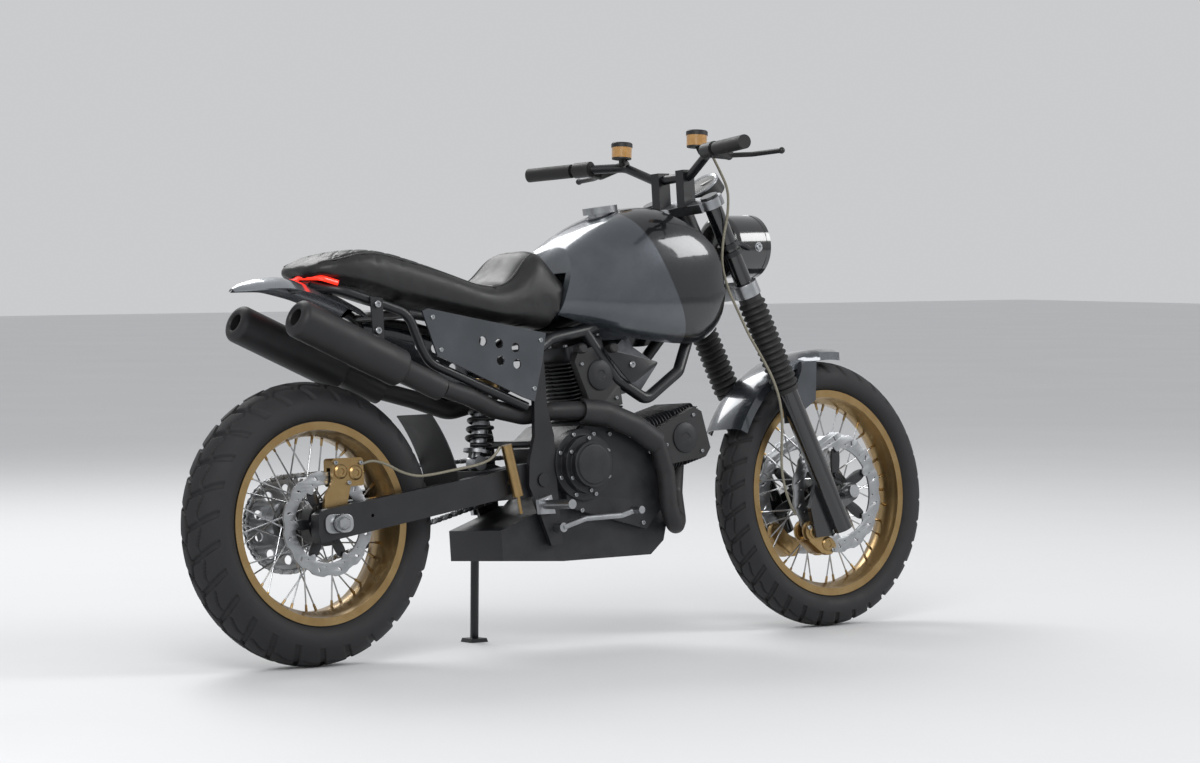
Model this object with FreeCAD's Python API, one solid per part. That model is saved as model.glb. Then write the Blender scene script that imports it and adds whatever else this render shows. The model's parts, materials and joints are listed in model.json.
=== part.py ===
import FreeCAD, Part
import math
import os

# Scrambler motorcycle. Millimetres, X forward, Y to the left, Z up.
# The machine is drawn upright with its steering straight and the rear axle at X = 0,
# then the steering is turned to its parked angle and the whole machine leans on its side stand.

# driving dimensions: wheels
rear_tyre_radius = 322.0
rear_tyre_width = 150.0
rear_bead_radius = 216.0
rear_rim_half = 59.0
front_tyre_radius = 329.0
front_tyre_width = 110.0
front_bead_radius = 241.3
front_rim_half = 38.0
flange_height = 14.0
spoke_count = 36
spoke_radius = 1.9
axle_radius = 10.0
running_gap = 0.05
fit_gap = 0.3

# driving dimensions: stance
tyre_to_pivot = 253.0
pivot_to_front_tyre = 621.0
pivot_height = 397.0
rake_angle = 25.0
lean_angle = 3.89
parked_steer = 3.32
steering_lock = 35.0

# driving dimensions: fork and bars
axle_lead = 62.0
stem_setback = 12.0
leg_gap = 50.0
fork_tube_radius = 21.5
fork_lower_radius = 25.0
gaiter_radius = 34.0
stem_radius = 15.0
bearing_radius = 24.0
bearing_height = 15.0
head_tube_radius = 29.0
lower_clamp_height = 584.0
lower_clamp_thickness = 34.0
head_length = 203.0
top_clamp_thickness = 24.0
gaiter_bottom = 308.0
lower_leg_end = -72.0
bar_radius = 11.1
grip_radius = 17.0
grip_length = 128.0
front_disc_radius = 149.0
rear_disc_radius = 120.0
headlight_radius = 78.0
hose_radius = 3.2

# driving dimensions: body and engine
frame_tube_radius = 14.0
rail_radius = 11.0
plate_thickness = 12.0
plate_offset = 114.0
arm_inner = 98.0
arm_outer = 130.0
header_radius = 21.5
thread_radius = 4.0
thread_x = 90.0
thread_rise = 14.0
muffler_radius = 44.0
muffler_offset = 125.0
crank_ahead = 255.0
crank_height = 430.0
case_half_width = 104.0
rear_sprocket_radius = 100.0
front_sprocket_radius = 32.0
chain_offset = 88.0
panel_offset = 126.6
frame_clearance = 1.0
tank_half_width = 160.0
tunnel_half_width = 74.0

# derived places
rear_axle_z = rear_tyre_radius
front_axle_z = front_tyre_radius
pivot_x = rear_tyre_radius + tyre_to_pivot
front_axle_x = pivot_x + pivot_to_front_tyre + front_tyre_radius
leg_y = front_tyre_width / 2 + leg_gap
top_clamp_height = lower_clamp_height + head_length + lower_clamp_thickness / 2 + 1 + top_clamp_thickness / 2
rake = math.radians(rake_angle)
lean = math.radians(lean_angle)


def vec(x, y, z):
    return FreeCAD.Vector(x, y, z)


def fuse(shapes):
    whole = shapes[0].multiFuse(shapes[1:]) if len(shapes) > 1 else shapes[0]
    return whole.removeSplitter()


def group(shapes):
    solids = []
    for shape in shapes:
        solids.extend(shape.Solids)
    return Part.makeCompound(solids)


def mirrored(shape):
    return shape.mirror(vec(0, 0, 0), vec(0, 1, 0))


def pair(shape):
    return group([shape, mirrored(shape)])


def rod(start, end, radius):
    along = end - start
    return Part.makeCylinder(radius, along.Length, start, along)


def pin(x, z, radius, y_low, y_high):
    return Part.makeCylinder(radius, y_high - y_low, vec(x, y_low, z), vec(0, 1, 0))


def block(x_low, x_high, y_low, y_high, z_low, z_high):
    return Part.makeBox(x_high - x_low, y_high - y_low, z_high - z_low, vec(x_low, y_low, z_low))


def plate(outline, y_low, y_high):
    corners = [vec(x, y_low, z) for x, z in outline]
    face = Part.Face(Part.makePolygon(corners + corners[:1]))
    return face.extrude(vec(0, y_high - y_low, 0))


def turned(profile, x, z):
    # a closed outline of (y, radius) points turned about the cross axis through (x, z)
    corners = [vec(x, y, z + radius) for y, radius in profile]
    face = Part.Face(Part.makePolygon(corners + corners[:1]))
    return face.revolve(vec(x, 0, z), vec(0, 1, 0), 360)


def path_with_arcs(points, bend):
    # straight runs joined by tangent arcs; an arc takes at most 0.45 of its shorter run
    edges = []
    start = points[0]
    for before, corner, after in zip(points, points[1:], points[2:]):
        inward = (before - corner).normalize()
        outward = (after - corner).normalize()
        half_turn = (math.pi - inward.getAngle(outward)) / 2
        shorter = min((before - corner).Length, (after - corner).Length)
        setback = min(bend * math.tan(half_turn), 0.45 * shorter)
        radius = setback / math.tan(half_turn)
        entry = corner + inward * setback
        leave = corner + outward * setback
        centre_gap = radius / math.cos(half_turn) - radius
        middle = corner + (inward + outward).normalize() * centre_gap
        edges.append(Part.LineSegment(start, entry).toShape())
        edges.append(Part.Arc(entry, middle, leave).toShape())
        start = leave
    edges.append(Part.LineSegment(start, points[-1]).toShape())
    return Part.Wire(edges)


def tube(points, radius, bend=60.0):
    path = path_with_arcs(points, bend)
    along = points[1] - points[0]
    section = Part.Wire(Part.makeCircle(radius, points[0], along))
    swept = path.makePipeShell([section], True, False)
    return Part.Solid(swept.Shells[0]) if not swept.Solids else swept.Solids[0]


def hose(name, points, radius):
    # a flexible line: every arc is as large as its two runs allow
    solid = tube(points, radius, 1.0e6)
    path = path_with_arcs(points, 1.0e6)
    section = math.pi * radius ** 2
    radii = [edge.Curve.Radius for edge in path.Edges if hasattr(edge.Curve, "Radius")]
    print(name, "length", round(path.Length, 1), "volume ratio",
        round(solid.Volume / (section * path.Length), 4))
    print(name, "radii", [round(value) for value in radii])
    return solid


def oval(x, half_width, z_low, z_wide, z_high, y_centre=0.0, fullness=0.75):
    # closed smooth section across the machine, fuller than an ellipse, widest at z_wide
    points = []
    for step in range(16):
        angle = 2 * math.pi * step / 16
        across = math.cos(angle)
        rise = math.sin(angle)
        reach = z_high - z_wide if rise > 0 else z_wide - z_low
        y = y_centre + half_width * math.copysign(abs(across) ** fullness, across)
        z = z_wide + reach * math.copysign(abs(rise) ** fullness, rise)
        points.append(vec(x, y, z))
    curve = Part.BSplineCurve()
    curve.interpolate(points, PeriodicFlag=True)
    return Part.Wire(curve.toShape())


def behind_or_ahead(low, high, ahead, gap):
    # a big wedge on one side of the sloping line through two (x, z) points
    slope = (high[0] - low[0]) / (high[1] - low[1])
    bottom_z = low[1] - 400
    top_z = high[1] + 400
    bottom_x = low[0] + slope * (bottom_z - low[1]) + gap
    top_x = low[0] + slope * (top_z - low[1]) + gap
    far = 900 if ahead else -900
    outline = [(bottom_x, bottom_z), (bottom_x + far, bottom_z), (top_x + far, top_z), (top_x, top_z)]
    return plate(outline, -400, 400)


# wheels
def tyre(x, z, outer, width, bead, rim_half):
    half = width / 2
    inner = rim_half - 4 - fit_gap
    lip = bead + flange_height + 1.0
    shoulder_y = half * 0.93
    crown = half * 1.04
    shoulder_r = outer - crown + math.sqrt(crown ** 2 - shoulder_y ** 2)
    wide_r = (shoulder_r + lip) / 2
    side = [vec(x, inner, z + lip), vec(x, half, z + wide_r), vec(x, shoulder_y, z + shoulder_r)]
    other = [vec(x, -point.y, point.z) for point in side]
    edges = [
        Part.LineSegment(vec(x, -inner, z + bead + fit_gap),
            vec(x, inner, z + bead + fit_gap)).toShape(),
        Part.LineSegment(vec(x, inner, z + bead + fit_gap), side[0]).toShape(),
        Part.Arc(*side).toShape(),
        Part.Arc(side[2], vec(x, 0, z + outer), other[2]).toShape(),
        Part.Arc(other[2], other[1], other[0]).toShape(),
        Part.LineSegment(other[0], vec(x, -inner, z + bead + fit_gap)).toShape(),
    ]
    return Part.Face(Part.Wire(edges)).revolve(vec(x, 0, z), vec(0, 1, 0), 360)


def rim(x, z, bead, rim_half):
    tip = bead + flange_height
    half = [
        (rim_half, tip),
        (rim_half - 4, tip),
        (rim_half - 4, bead),
        (rim_half * 0.6, bead - 1.5),
        (rim_half * 0.35, bead - 12),
    ]
    under = [(rim_half * 0.38, bead - 18), (rim_half * 0.7, bead - 8), (rim_half, bead - 4)]
    left = half + [(-y, r) for y, r in reversed(half)]
    right = [(-y, r) for y, r in reversed(under)] + under
    return turned(left + right, x, z)


def hub(x, z, bead, rim_half, reach, flange_y, flange_r, barrel_r):
    barrel = turned(
        [
            (-reach, axle_radius + running_gap), (reach, axle_radius + running_gap),
            (reach, barrel_r - 3),
            (flange_y + 8, barrel_r), (flange_y + 5, flange_r), (flange_y - 3, flange_r),
            (flange_y - 10, barrel_r),
            (10 - flange_y, barrel_r), (3 - flange_y, flange_r), (-flange_y - 5, flange_r),
            (-flange_y - 8, barrel_r), (-reach, barrel_r - 3),
        ],
        x,
        z,
    )
    rim_radius = bead - 18 - fit_gap
    spokes = []
    for index in range(spoke_count):
        side = 1 if index % 2 else -1
        lay = 1 if index % 4 < 2 else -1
        at_rim = 2 * math.pi * (index + 0.5) / spoke_count
        at_hub = at_rim + lay * math.radians(62)
        start = vec(
            x + (flange_r - 6) * math.cos(at_hub), side * (flange_y + 1), z + (flange_r - 6) * math.sin(at_hub)
        )
        end = vec(x + rim_radius * math.cos(at_rim), side * 6, z + rim_radius * math.sin(at_rim))
        spokes.append(rod(start, end, spoke_radius))
    limit = Part.makeCylinder(rim_radius, 2 * reach, vec(x, -reach, z), vec(0, 1, 0))
    spokes = [spoke.common(limit) for spoke in spokes]
    return fuse([barrel] + spokes)


def disc(x, z, outer, bore, y_low, y_high):
    return pin(x, z, outer, y_low, y_high).cut(pin(x, z, bore, y_low - 1, y_high + 1))


def front_wheel():
    x = front_axle_x
    z = front_axle_z
    disc_y = front_tyre_width / 2 + 5
    reach = leg_y - fork_lower_radius - 1
    right_disc = disc(x, z, front_disc_radius, 24 + fit_gap, disc_y, disc_y + 5)
    carrier = disc(x, z, 52, 24 + fit_gap, disc_y - 20, disc_y)
    right_disc = fuse([right_disc, carrier])
    return {
        "front_tyre": tyre(x, z, front_tyre_radius, front_tyre_width, front_bead_radius,
            front_rim_half),
        "front_rim": rim(x, z, front_bead_radius, front_rim_half),
        "front_hub": hub(x, z, front_bead_radius, front_rim_half, reach, disc_y - 29, 44, 24),
        "front_discs": pair(right_disc),
    }


def rear_wheel():
    x = 0.0
    z = rear_axle_z
    reach = arm_inner - 11
    disc_y = -78.0
    sprocket = disc(x, z, rear_sprocket_radius, 30 + fit_gap, chain_offset - 3.5, chain_offset + 3.5)
    boss = disc(x, z, 62, 30 + fit_gap, 45, chain_offset - 3.5)
    brake = fuse([
        disc(x, z, rear_disc_radius, 30 + fit_gap, disc_y - 5, disc_y), disc(x, z, 52, 30 + fit_gap,
            disc_y, -45)
    ])
    return {
        "rear_tyre": tyre(x, z, rear_tyre_radius, rear_tyre_width, rear_bead_radius, rear_rim_half),
        "rear_rim": rim(x, z, rear_bead_radius, rear_rim_half),
        "rear_hub": hub(x, z, rear_bead_radius, rear_rim_half, reach, 36, 50, 30),
        "rear_disc": brake,
        "rear_sprocket": fuse([sprocket, boss]),
    }


# steering, drawn in the fork's own frame
# local Z runs up the fork leg, local X is square to it and forward; the axle is at (axle_lead, 0, 0)
fork_foot = vec(front_axle_x - axle_lead * math.cos(rake), 0, front_axle_z - axle_lead * math.sin(rake))
fork_place = FreeCAD.Placement(fork_foot, FreeCAD.Rotation(vec(0, 1, 0), -rake_angle))
fork_back = fork_place.inverse()
stem_point = fork_place.multVec(vec(-stem_setback, 0, lower_clamp_height))
stem_axis = vec(-math.sin(rake), 0, math.cos(rake))


def on_fork(shape):
    moved = shape.copy()
    moved.Placement = fork_place.multiply(shape.Placement)
    return moved


def upright(x, y, radius, low, high):
    return Part.makeCylinder(radius, high - low, vec(x, y, low))


def clamp(middle, thickness, wall, rear):
    low = middle - thickness / 2
    high = middle + thickness / 2
    body = block(-stem_setback - rear, 14, -leg_y, leg_y, low, high)
    rings = [upright(0, side * leg_y, fork_tube_radius + wall, low, high) for side in (1, -1)]
    centre = upright(-stem_setback, 0, head_tube_radius + 2, low, high)
    whole = fuse([body, centre] + rings)
    for side in (1, -1):
        whole = whole.cut(upright(0, side * leg_y, fork_tube_radius + fit_gap, low - 1, high + 1))
    return whole


def triple_clamps():
    lower = clamp(lower_clamp_height, lower_clamp_thickness, 10, 12)
    stem_top = top_clamp_height + top_clamp_thickness / 2
    stem = upright(-stem_setback, 0, stem_radius, lower_clamp_height, stem_top)
    top = clamp(top_clamp_height, top_clamp_thickness, 9, 26)
    top = top.cut(upright(-stem_setback, 0, stem_radius + fit_gap, top_clamp_height - 50, stem_top + 1))
    return on_fork(group([fuse([lower, stem]), top]))


def fork_tubes():
    low = gaiter_bottom - 90
    high = top_clamp_height + top_clamp_thickness / 2 + 6
    return on_fork(pair(upright(0, leg_y, fork_tube_radius, low, high)))


def fork_gaiters():
    high = lower_clamp_height - lower_clamp_thickness / 2 - 1
    ribs = 14
    pitch = (high - gaiter_bottom - 20) / ribs
    outline = [(fork_tube_radius + 1, gaiter_bottom + 1), (fork_lower_radius + 4, gaiter_bottom + 1)]
    outline.append((fork_lower_radius + 4, gaiter_bottom + 9))
    for rib in range(ribs):
        base = gaiter_bottom + 10 + rib * pitch
        outline.append((gaiter_radius - 6, base + 0.1 * pitch))
        outline.append((gaiter_radius, base + 0.5 * pitch))
        outline.append((gaiter_radius - 6, base + 0.9 * pitch))
    outline.append((fork_lower_radius + 3, high - 9))
    outline.append((fork_lower_radius + 3, high))
    outline.append((fork_tube_radius + 1, high))
    corners = [vec(radius, 0, height) for radius, height in outline]
    face = Part.Face(Part.makePolygon(corners + corners[:1]))
    bellows = face.revolve(vec(0, 0, 0), vec(0, 0, 1), 360)
    bellows.translate(vec(0, leg_y, 0))
    return on_fork(pair(bellows))


def fork_lowers():
    legs = []
    for side in (1, -1):
        leg = upright(0, side * leg_y, fork_lower_radius, lower_leg_end, gaiter_bottom)
        inner = side * (leg_y - 15)
        outer = side * (leg_y + 15)
        low, high = min(inner, outer), max(inner, outer)
        lug = fuse([
            block(0, axle_lead, low, high, -22, 22), pin(axle_lead, 0, 22, low, high),
        ])
        ear_low, ear_high = min(side * (leg_y - 18), side * (leg_y - 6)), max(side * (leg_y - 18),
            side * (leg_y - 6))
        ear = plate([(-18, 70), (-66, 20), (-84, -52), (-40, -70), (-10, -50)], ear_low, ear_high)
        leg = fuse([leg, lug, ear])
        leg = leg.cut(upright(0, side * leg_y, fork_tube_radius + fit_gap, gaiter_bottom - 120,
            gaiter_bottom + 1))
        leg = leg.cut(pin(axle_lead, 0, axle_radius + fit_gap, low - 1, high + 1))
        legs.append(leg)
    return on_fork(group(legs))


def front_axle():
    x = axle_lead
    shaft = pin(x, 0, axle_radius, -leg_y - 16, leg_y + 16)
    heads = [pin(x, 0, 16, leg_y + 15.3, leg_y + 23), pin(x, 0, 16, -leg_y - 23, -leg_y - 15.3)]
    return on_fork(fuse([shaft] + heads))


def front_calipers():
    # each caliper straddles its disc behind the leg
    centre = front_axle_x - 126
    height = front_axle_z - 66
    disc_y = front_tyre_width / 2 + 5
    inner = disc_y - 20
    outer = leg_y - 18 - fit_gap
    body = block(centre - 30, centre + 32, inner, outer, height - 56, height + 52)
    body = body.makeFillet(8, [edge for edge in body.Edges if edge.Length > 60 and abs(edge.tangentAt(0).z) > 0.9])
    body.rotate(vec(centre, 0, height), vec(0, 1, 0), 25)
    slot = disc(front_axle_x, front_axle_z, front_disc_radius + 5, 30, disc_y - 5, disc_y + 10)
    return pair(body.cut(slot))


def handlebar(extra=0.0):
    ends = [
        vec(front_axle_x - 428, 0, 1110), vec(front_axle_x - 428, 62, 1110),
        vec(front_axle_x - 448, 150, 1152),
        vec(front_axle_x - 512, 236, 1155), vec(front_axle_x - 549, 392, 1157),
    ]
    right = [vec(point.x, -point.y, point.z) for point in reversed(ends[1:])]
    return tube(right + ends[1:], bar_radius + extra, 45)


def handlebar_risers():
    top_z = 1110 + 17
    risers = []
    for side in (1, -1):
        riser = block(front_axle_x - 446, front_axle_x - 410, side * 45 - 14, side * 45 + 14, 1030,
            top_z)
        risers.append(riser.cut(handlebar(fit_gap)))
    plane = upright(-stem_setback, 0, 150, top_clamp_height - 200,
        top_clamp_height + top_clamp_thickness / 2 + fit_gap)
    return group([riser.cut(on_fork(plane)) for riser in risers])


def bar_point(share, side):
    # a point on the straight outer stretch of the bar, share 0 at the bend and 1 at the end
    inner = vec(front_axle_x - 512, 236, 1155)
    outer = vec(front_axle_x - 549, 392, 1157)
    point = inner + (outer - inner) * share
    return vec(point.x, side * point.y, point.z)


def grips():
    sleeves = []
    for side in (1, -1):
        start = bar_point(0.2, side)
        end = bar_point(1.03, side)
        sleeve = rod(start, end, grip_radius)
        sleeves.append(sleeve.cut(rod(bar_point(0, side), bar_point(1, side), bar_radius + fit_gap)))
    return group(sleeves)


def hand_controls():
    # perch, lever, master cylinder and fluid reservoir on each side
    pieces = []
    for side in (1, -1):
        at_bar = bar_point(0.06, side)
        inner = bar_point(-0.16, side)
        perch = rod(inner, bar_point(0.13, side), 19)
        pivot = vec(front_axle_x - 452, side * 236, 1143)
        arm = rod(at_bar, pivot, 12)
        cylinder = rod(pivot, vec(front_axle_x - 452, side * 140, 1160), 11)
        lever = tube([pivot, vec(front_axle_x - 430, side * 290, 1140),
            vec(front_axle_x - 410, side * 372, 1141)], 6, 60)
        tip = Part.makeSphere(8, vec(front_axle_x - 410, side * 372, 1141))
        pot = Part.makeCylinder(24, 40, vec(front_axle_x - 468, side * 138, 1172), vec(0.1, 0, 1))
        neck = rod(vec(front_axle_x - 460, side * 146, 1158),
            vec(front_axle_x - 466, side * 139, 1180), 8)
        whole = fuse([perch, arm, cylinder, lever, tip, pot, neck])
        pieces.append(whole.cut(handlebar(fit_gap)))
    return pieces


def headlight():
    z = front_axle_z + 615
    rear = front_axle_x - 305
    front = front_axle_x - 187
    shell = Part.makeCylinder(headlight_radius, front - rear, vec(rear, 0, z), vec(1, 0, 0))
    dome = Part.makeSphere(headlight_radius, vec(rear, 0, z))
    dome = dome.common(block(rear - 22, rear + 1, -100, 100, z - 100, z + 100))
    shell = fuse([shell, dome])
    shell = shell.cut(Part.makeCylinder(headlight_radius - 6, 12, vec(front - 10, 0, z), vec(1, 0, 0)))
    arms = []
    for side in (1, -1):
        low, high = sorted((side * (headlight_radius - 2), side * (headlight_radius + 4)))
        arm = plate([(front - 60, z - 12), (front - 60, z + 12), (rear - 50, z + 16),
            (rear - 50, z - 6)], low, high)
        arms.append(arm)
    whole = fuse([shell] + arms)
    for side in (1, -1):
        leg = on_fork(upright(0, side * leg_y, fork_tube_radius + fit_gap, 500, 900))
        ring = on_fork(upright(0, side * leg_y, fork_tube_radius + 6, 675, 705))
        whole = fuse([whole, ring]).cut(leg)
    return whole.cut(on_fork(upright(-stem_setback, 0, head_tube_radius + 6, 400, 900)))


def headlight_lens():
    z = front_axle_z + 615
    front = front_axle_x - 187
    glass = Part.makeCylinder(headlight_radius - 6 - fit_gap, 9, vec(front - 9.5, 0, z), vec(1, 0, 0))
    bulge = Part.makeSphere(220, vec(front + 10 - 220, 0, z))
    crown = Part.makeCylinder(headlight_radius - 6 - fit_gap, 40, vec(front - 0.6, 0, z),
        vec(1, 0, 0)).common(bulge)
    return fuse([glass, crown])


def gauge():
    centre = vec(front_axle_x - 335, 0, 1096)
    facing = vec(-0.62, 0, 0.78)
    case = Part.makeCylinder(46, 34, centre - facing * 34, facing)
    foot = rod(centre - facing * 30, vec(front_axle_x - 400, 0, 1054), 9)
    return fuse([case, foot]).cut(triple_clamps())


def front_fender():
    x = front_axle_x
    z = front_axle_z
    inner = front_tyre_radius + 26
    half = front_tyre_width / 2 + 8
    skin = 3.0
    ring = turned(
        [
            (-half, inner - 26), (-half * 0.93, inner - 8), (-half * 0.6, inner), (half * 0.6, inner),
            (half * 0.93, inner - 8), (half, inner - 26), (half + skin, inner - 26),
            (half * 0.96 + skin, inner - 6),
            (half * 0.62, inner + skin), (-half * 0.62, inner + skin), (-half * 0.96 - skin, inner - 6),
            (-half - skin, inner - 26),
        ],
        x,
        z,
    )
    far = 700
    spread = [vec(x, -300, z)]
    for angle in (84, 120, 152):
        turn = math.radians(angle)
        spread.append(vec(x + far * math.cos(turn), -300, z + far * math.sin(turn)))
    wedge = Part.Face(Part.makePolygon(spread + spread[:1])).extrude(vec(0, 600, 0))
    skin_shape = ring.common(wedge)
    low = half + skin - 1
    high = leg_y - fork_lower_radius + 4
    stays = []
    for side in (1, -1):
        y_low, y_high = sorted((side * low, side * high))
        stay = plate([(x - 102, z + 326), (x - 62, z + 326), (x - 72, z + 230), (x - 165, z + 175),
            (x - 165, z + 215)], y_low, y_high)
        leg = on_fork(upright(0, side * leg_y, fork_lower_radius + fit_gap, -60, gaiter_bottom + 40))
        boot = on_fork(upright(0, side * leg_y, gaiter_radius + 5, gaiter_bottom - 0.3,
            gaiter_bottom + 60))
        stays.append(stay.cut(leg).cut(boot))
    return fuse([skin_shape] + stays)


def front_brake_hose():
    # from the right master cylinder, behind the right fork leg, down to the right caliper
    x = front_axle_x
    y = -leg_y
    route = [
        vec(x - 437, y - 48, 1158), vec(x - 414, y - 48, 1120), vec(x - 384, y - 45, 1070),
        vec(x - 380, y - 34, 1010),
        vec(x - 392, y - 24, 950), vec(x - 392, y - 14, 890), vec(x - 376, y - 15, 830),
        vec(x - 348, y - 17, 775),
        vec(x - 322, y - 20, 720), vec(x - 290, y - 26, 668), vec(x - 262, y - 32, 614),
        vec(x - 246, y - 36, 560),
        vec(x - 240, y - 34, 504), vec(x - 244, y - 30, 448), vec(x - 243, y - 24, 392),
        vec(x - 226, y - 14, 342),
        vec(x - 192, y + 4, 300), vec(x - 164, y + 20, 280),
    ]
    return hose("front_brake_hose", route, hose_radius)


def steering():
    controls = hand_controls()
    bars = handlebar()
    return {
        "triple_clamps": triple_clamps(),
        "fork_tubes": fork_tubes(),
        "fork_gaiters": fork_gaiters(),
        "fork_lowers": fork_lowers(),
        "front_axle": front_axle(),
        "front_calipers": front_calipers(),
        "handlebar": bars,
        "handlebar_risers": handlebar_risers(),
        "grips": grips(),
        "hand_controls": group(controls),
        "headlight": headlight(),
        "headlight_lens": headlight_lens(),
        "gauge": gauge(),
        "front_fender": front_fender(),
        "front_brake_hose": front_brake_hose(),
    }


# frame
def from_pivot(x, y, z):
    return vec(pivot_x + x, y, z)


def head_struts(extra=0.0):
    upper = lower_clamp_height + lower_clamp_thickness / 2 + 1 + head_length - 70
    head_top = fork_place.multVec(vec(-stem_setback, 0, upper))
    return [
        tube([from_pivot(330, side * 60, 800), from_pivot(430, side * 45, 856), head_top],
            frame_tube_radius - 2 + extra, 60)
        for side in (1, -1)
    ]


def main_frame(extra=0.0):
    tube_radius = frame_tube_radius + extra
    lower = lower_clamp_height + lower_clamp_thickness / 2 + 1
    head = on_fork(upright(-stem_setback, 0, head_tube_radius, lower, lower + head_length - 1))
    head_low = fork_place.multVec(vec(-stem_setback, 0, lower + 35))
    tubes = [head] + head_struts(extra)
    for side in (1, -1):
        joint = from_pivot(165, side * 88, 743)
        valley = from_pivot(253, side * 90, 626)
        front = from_pivot(340, side * 90, 576)
        rise = from_pivot(445, side * 86, 641)
        post_top = from_pivot(0, side * 100, 690)
        tubes.append(tube([joint, valley, front, rise, head_low], tube_radius, 30))
        spine = [post_top, from_pivot(60, side * 92, 725), joint, from_pivot(330, side * 60, 800),
            head_low]
        tubes.append(tube(spine, tube_radius, 60))
        ear_low, ear_high = sorted((side * 17, side * 24))
        ear = [(pivot_x - 4, 702), (pivot_x - 66, 676), (pivot_x - 62, 648), (pivot_x + 4, 678)]
        tubes.append(plate(ear, ear_low - extra, ear_high + extra))
        outline = [
            (-16, 700), (14, 700), (20, 560), (36, 500), (38, 410), (44, 300), (50, 248), (16, 243),
            (-18, 330),
            (-42, 385), (-38, 440), (-20, 500), (-18, 560),
        ]
        y_low, y_high = sorted((side * plate_offset, side * (plate_offset + plate_thickness)))
        side_plate = plate([(pivot_x + x, z) for x, z in outline], y_low - extra, y_high + extra)
        side_plate = side_plate.cut(pin(pivot_x, pivot_height, 16 + fit_gap, -200, 200))
        tubes.append(side_plate)
        tubes.append(rod(post_top, from_pivot(0, side * (plate_offset + 2), 690), tube_radius))
    tubes.append(rod(from_pivot(-2, -100, 690), from_pivot(-2, 100, 690), tube_radius))
    tubes.append(rod(from_pivot(165, -88, 743), from_pivot(165, 88, 743), frame_tube_radius - 2))
    for x, z in ((28, 262), (4, 482)):
        tubes.append(rod(from_pivot(x, -plate_offset - 2, z), from_pivot(x, plate_offset + 2, z),
            9 + extra))
    bore = on_fork(upright(-stem_setback, 0, bearing_radius + fit_gap, 400, 900))
    return fuse(tubes).cut(bore)


def steering_bearings():
    # a ring pressed into each end of the head tube; the stem turns in them
    low = lower_clamp_height + lower_clamp_thickness / 2 + 1
    high = low + head_length - 1
    rings = []
    for start in (low, high - bearing_height):
        ring = upright(-stem_setback, 0, bearing_radius, start, start + bearing_height)
        rings.append(ring.cut(upright(-stem_setback, 0, stem_radius + 2 * running_gap, start - 1,
            high + 1)))
    return on_fork(group(rings))


def subframe(extra=0.0):
    tubes = []
    for side in (1, -1):
        rail = [
            from_pivot(-566, side * 40, 858), from_pivot(-520, side * 92, 846),
            from_pivot(-440, side * 100, 820),
            from_pivot(-350, side * 106, 790), from_pivot(-322, side * 111, 715),
            from_pivot(-300, side * 112, 676),
            from_pivot(-60, side * 112, 580), from_pivot(-31, side * 112, 569),
        ]
        tubes.append(tube(rail, rail_radius + extra, 60))
        top = [from_pivot(-350, side * 102, 790), from_pivot(-200, side * 100, 768),
            from_pivot(-20, side * 96, 722)]
        tubes.append(tube(top, rail_radius + extra, 60))
    tubes.append(rod(from_pivot(-566, -42, 858), from_pivot(-566, 42, 858), rail_radius + extra))
    tubes.append(rod(from_pivot(-350, -102, 790), from_pivot(-350, 102, 790), rail_radius + extra))
    whole = fuse(tubes)
    return whole


def swingarm():
    arms = []
    for side in (1, -1):
        outline = [
            (-50, rear_axle_z - 42), (-56, rear_axle_z - 20), (-54, rear_axle_z + 22),
            (-40, rear_axle_z + 32),
            (pivot_x - 172, 414), (pivot_x - 95, 428), (pivot_x - 80, 372), (pivot_x - 145, 354),
        ]
        y_low, y_high = sorted((side * arm_inner, side * arm_outer))
        outer = plate(outline, y_low, y_high)
        inner_low, inner_high = sorted((side * 66, side * (plate_offset - 2)))
        nose = plate(
            [(pivot_x - 150, 352), (pivot_x - 150, 422), (pivot_x - 40, 436), (pivot_x, 437),
                (pivot_x + 20, 430),
             (pivot_x + 26, 400), (pivot_x + 20, 372), (pivot_x, 360), (pivot_x - 60, 356)],
            inner_low, inner_high,
        )
        arms.append(fuse([outer, nose]))
    beam = block(pivot_x - 140, pivot_x - 75, -112, 112, 356, 424)
    spindle = pin(pivot_x, pivot_height, 16, -plate_offset - plate_thickness - 4,
        plate_offset + plate_thickness + 4)
    whole = fuse(arms + [beam, spindle])
    thread = pin(thread_x, rear_axle_z + thread_rise, thread_radius, -arm_outer - 2, arm_outer + 2)
    whole = whole.cut(thread)
    return whole.cut(pin(0, rear_axle_z, axle_radius + fit_gap, -200, 200))


def rear_axle():
    shaft = pin(0, rear_axle_z, axle_radius, -arm_outer - 4, arm_outer + 4)
    heads = [
        pin(0, rear_axle_z, 19, arm_outer + fit_gap, arm_outer + 14),
        pin(0, rear_axle_z, 19, -arm_outer - 14, -arm_outer - fit_gap),
    ]
    return fuse([shaft] + heads)


def rear_suspension():
    low = from_pivot(-100, 0, 445.5)
    high = from_pivot(-62, 0, 640)
    along = (high - low).normalize()
    spring = rod(low + along * 24, high - along * 10, 35)
    shaft = rod(low - along * 4, high + along * 22, 13)
    eye = pin(low.x, low.z - 4, 17, -18, 18)
    head = pin(high.x + 5, high.z + 20, 15, -16, 16)
    return fuse([spring, shaft, eye, head])


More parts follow.
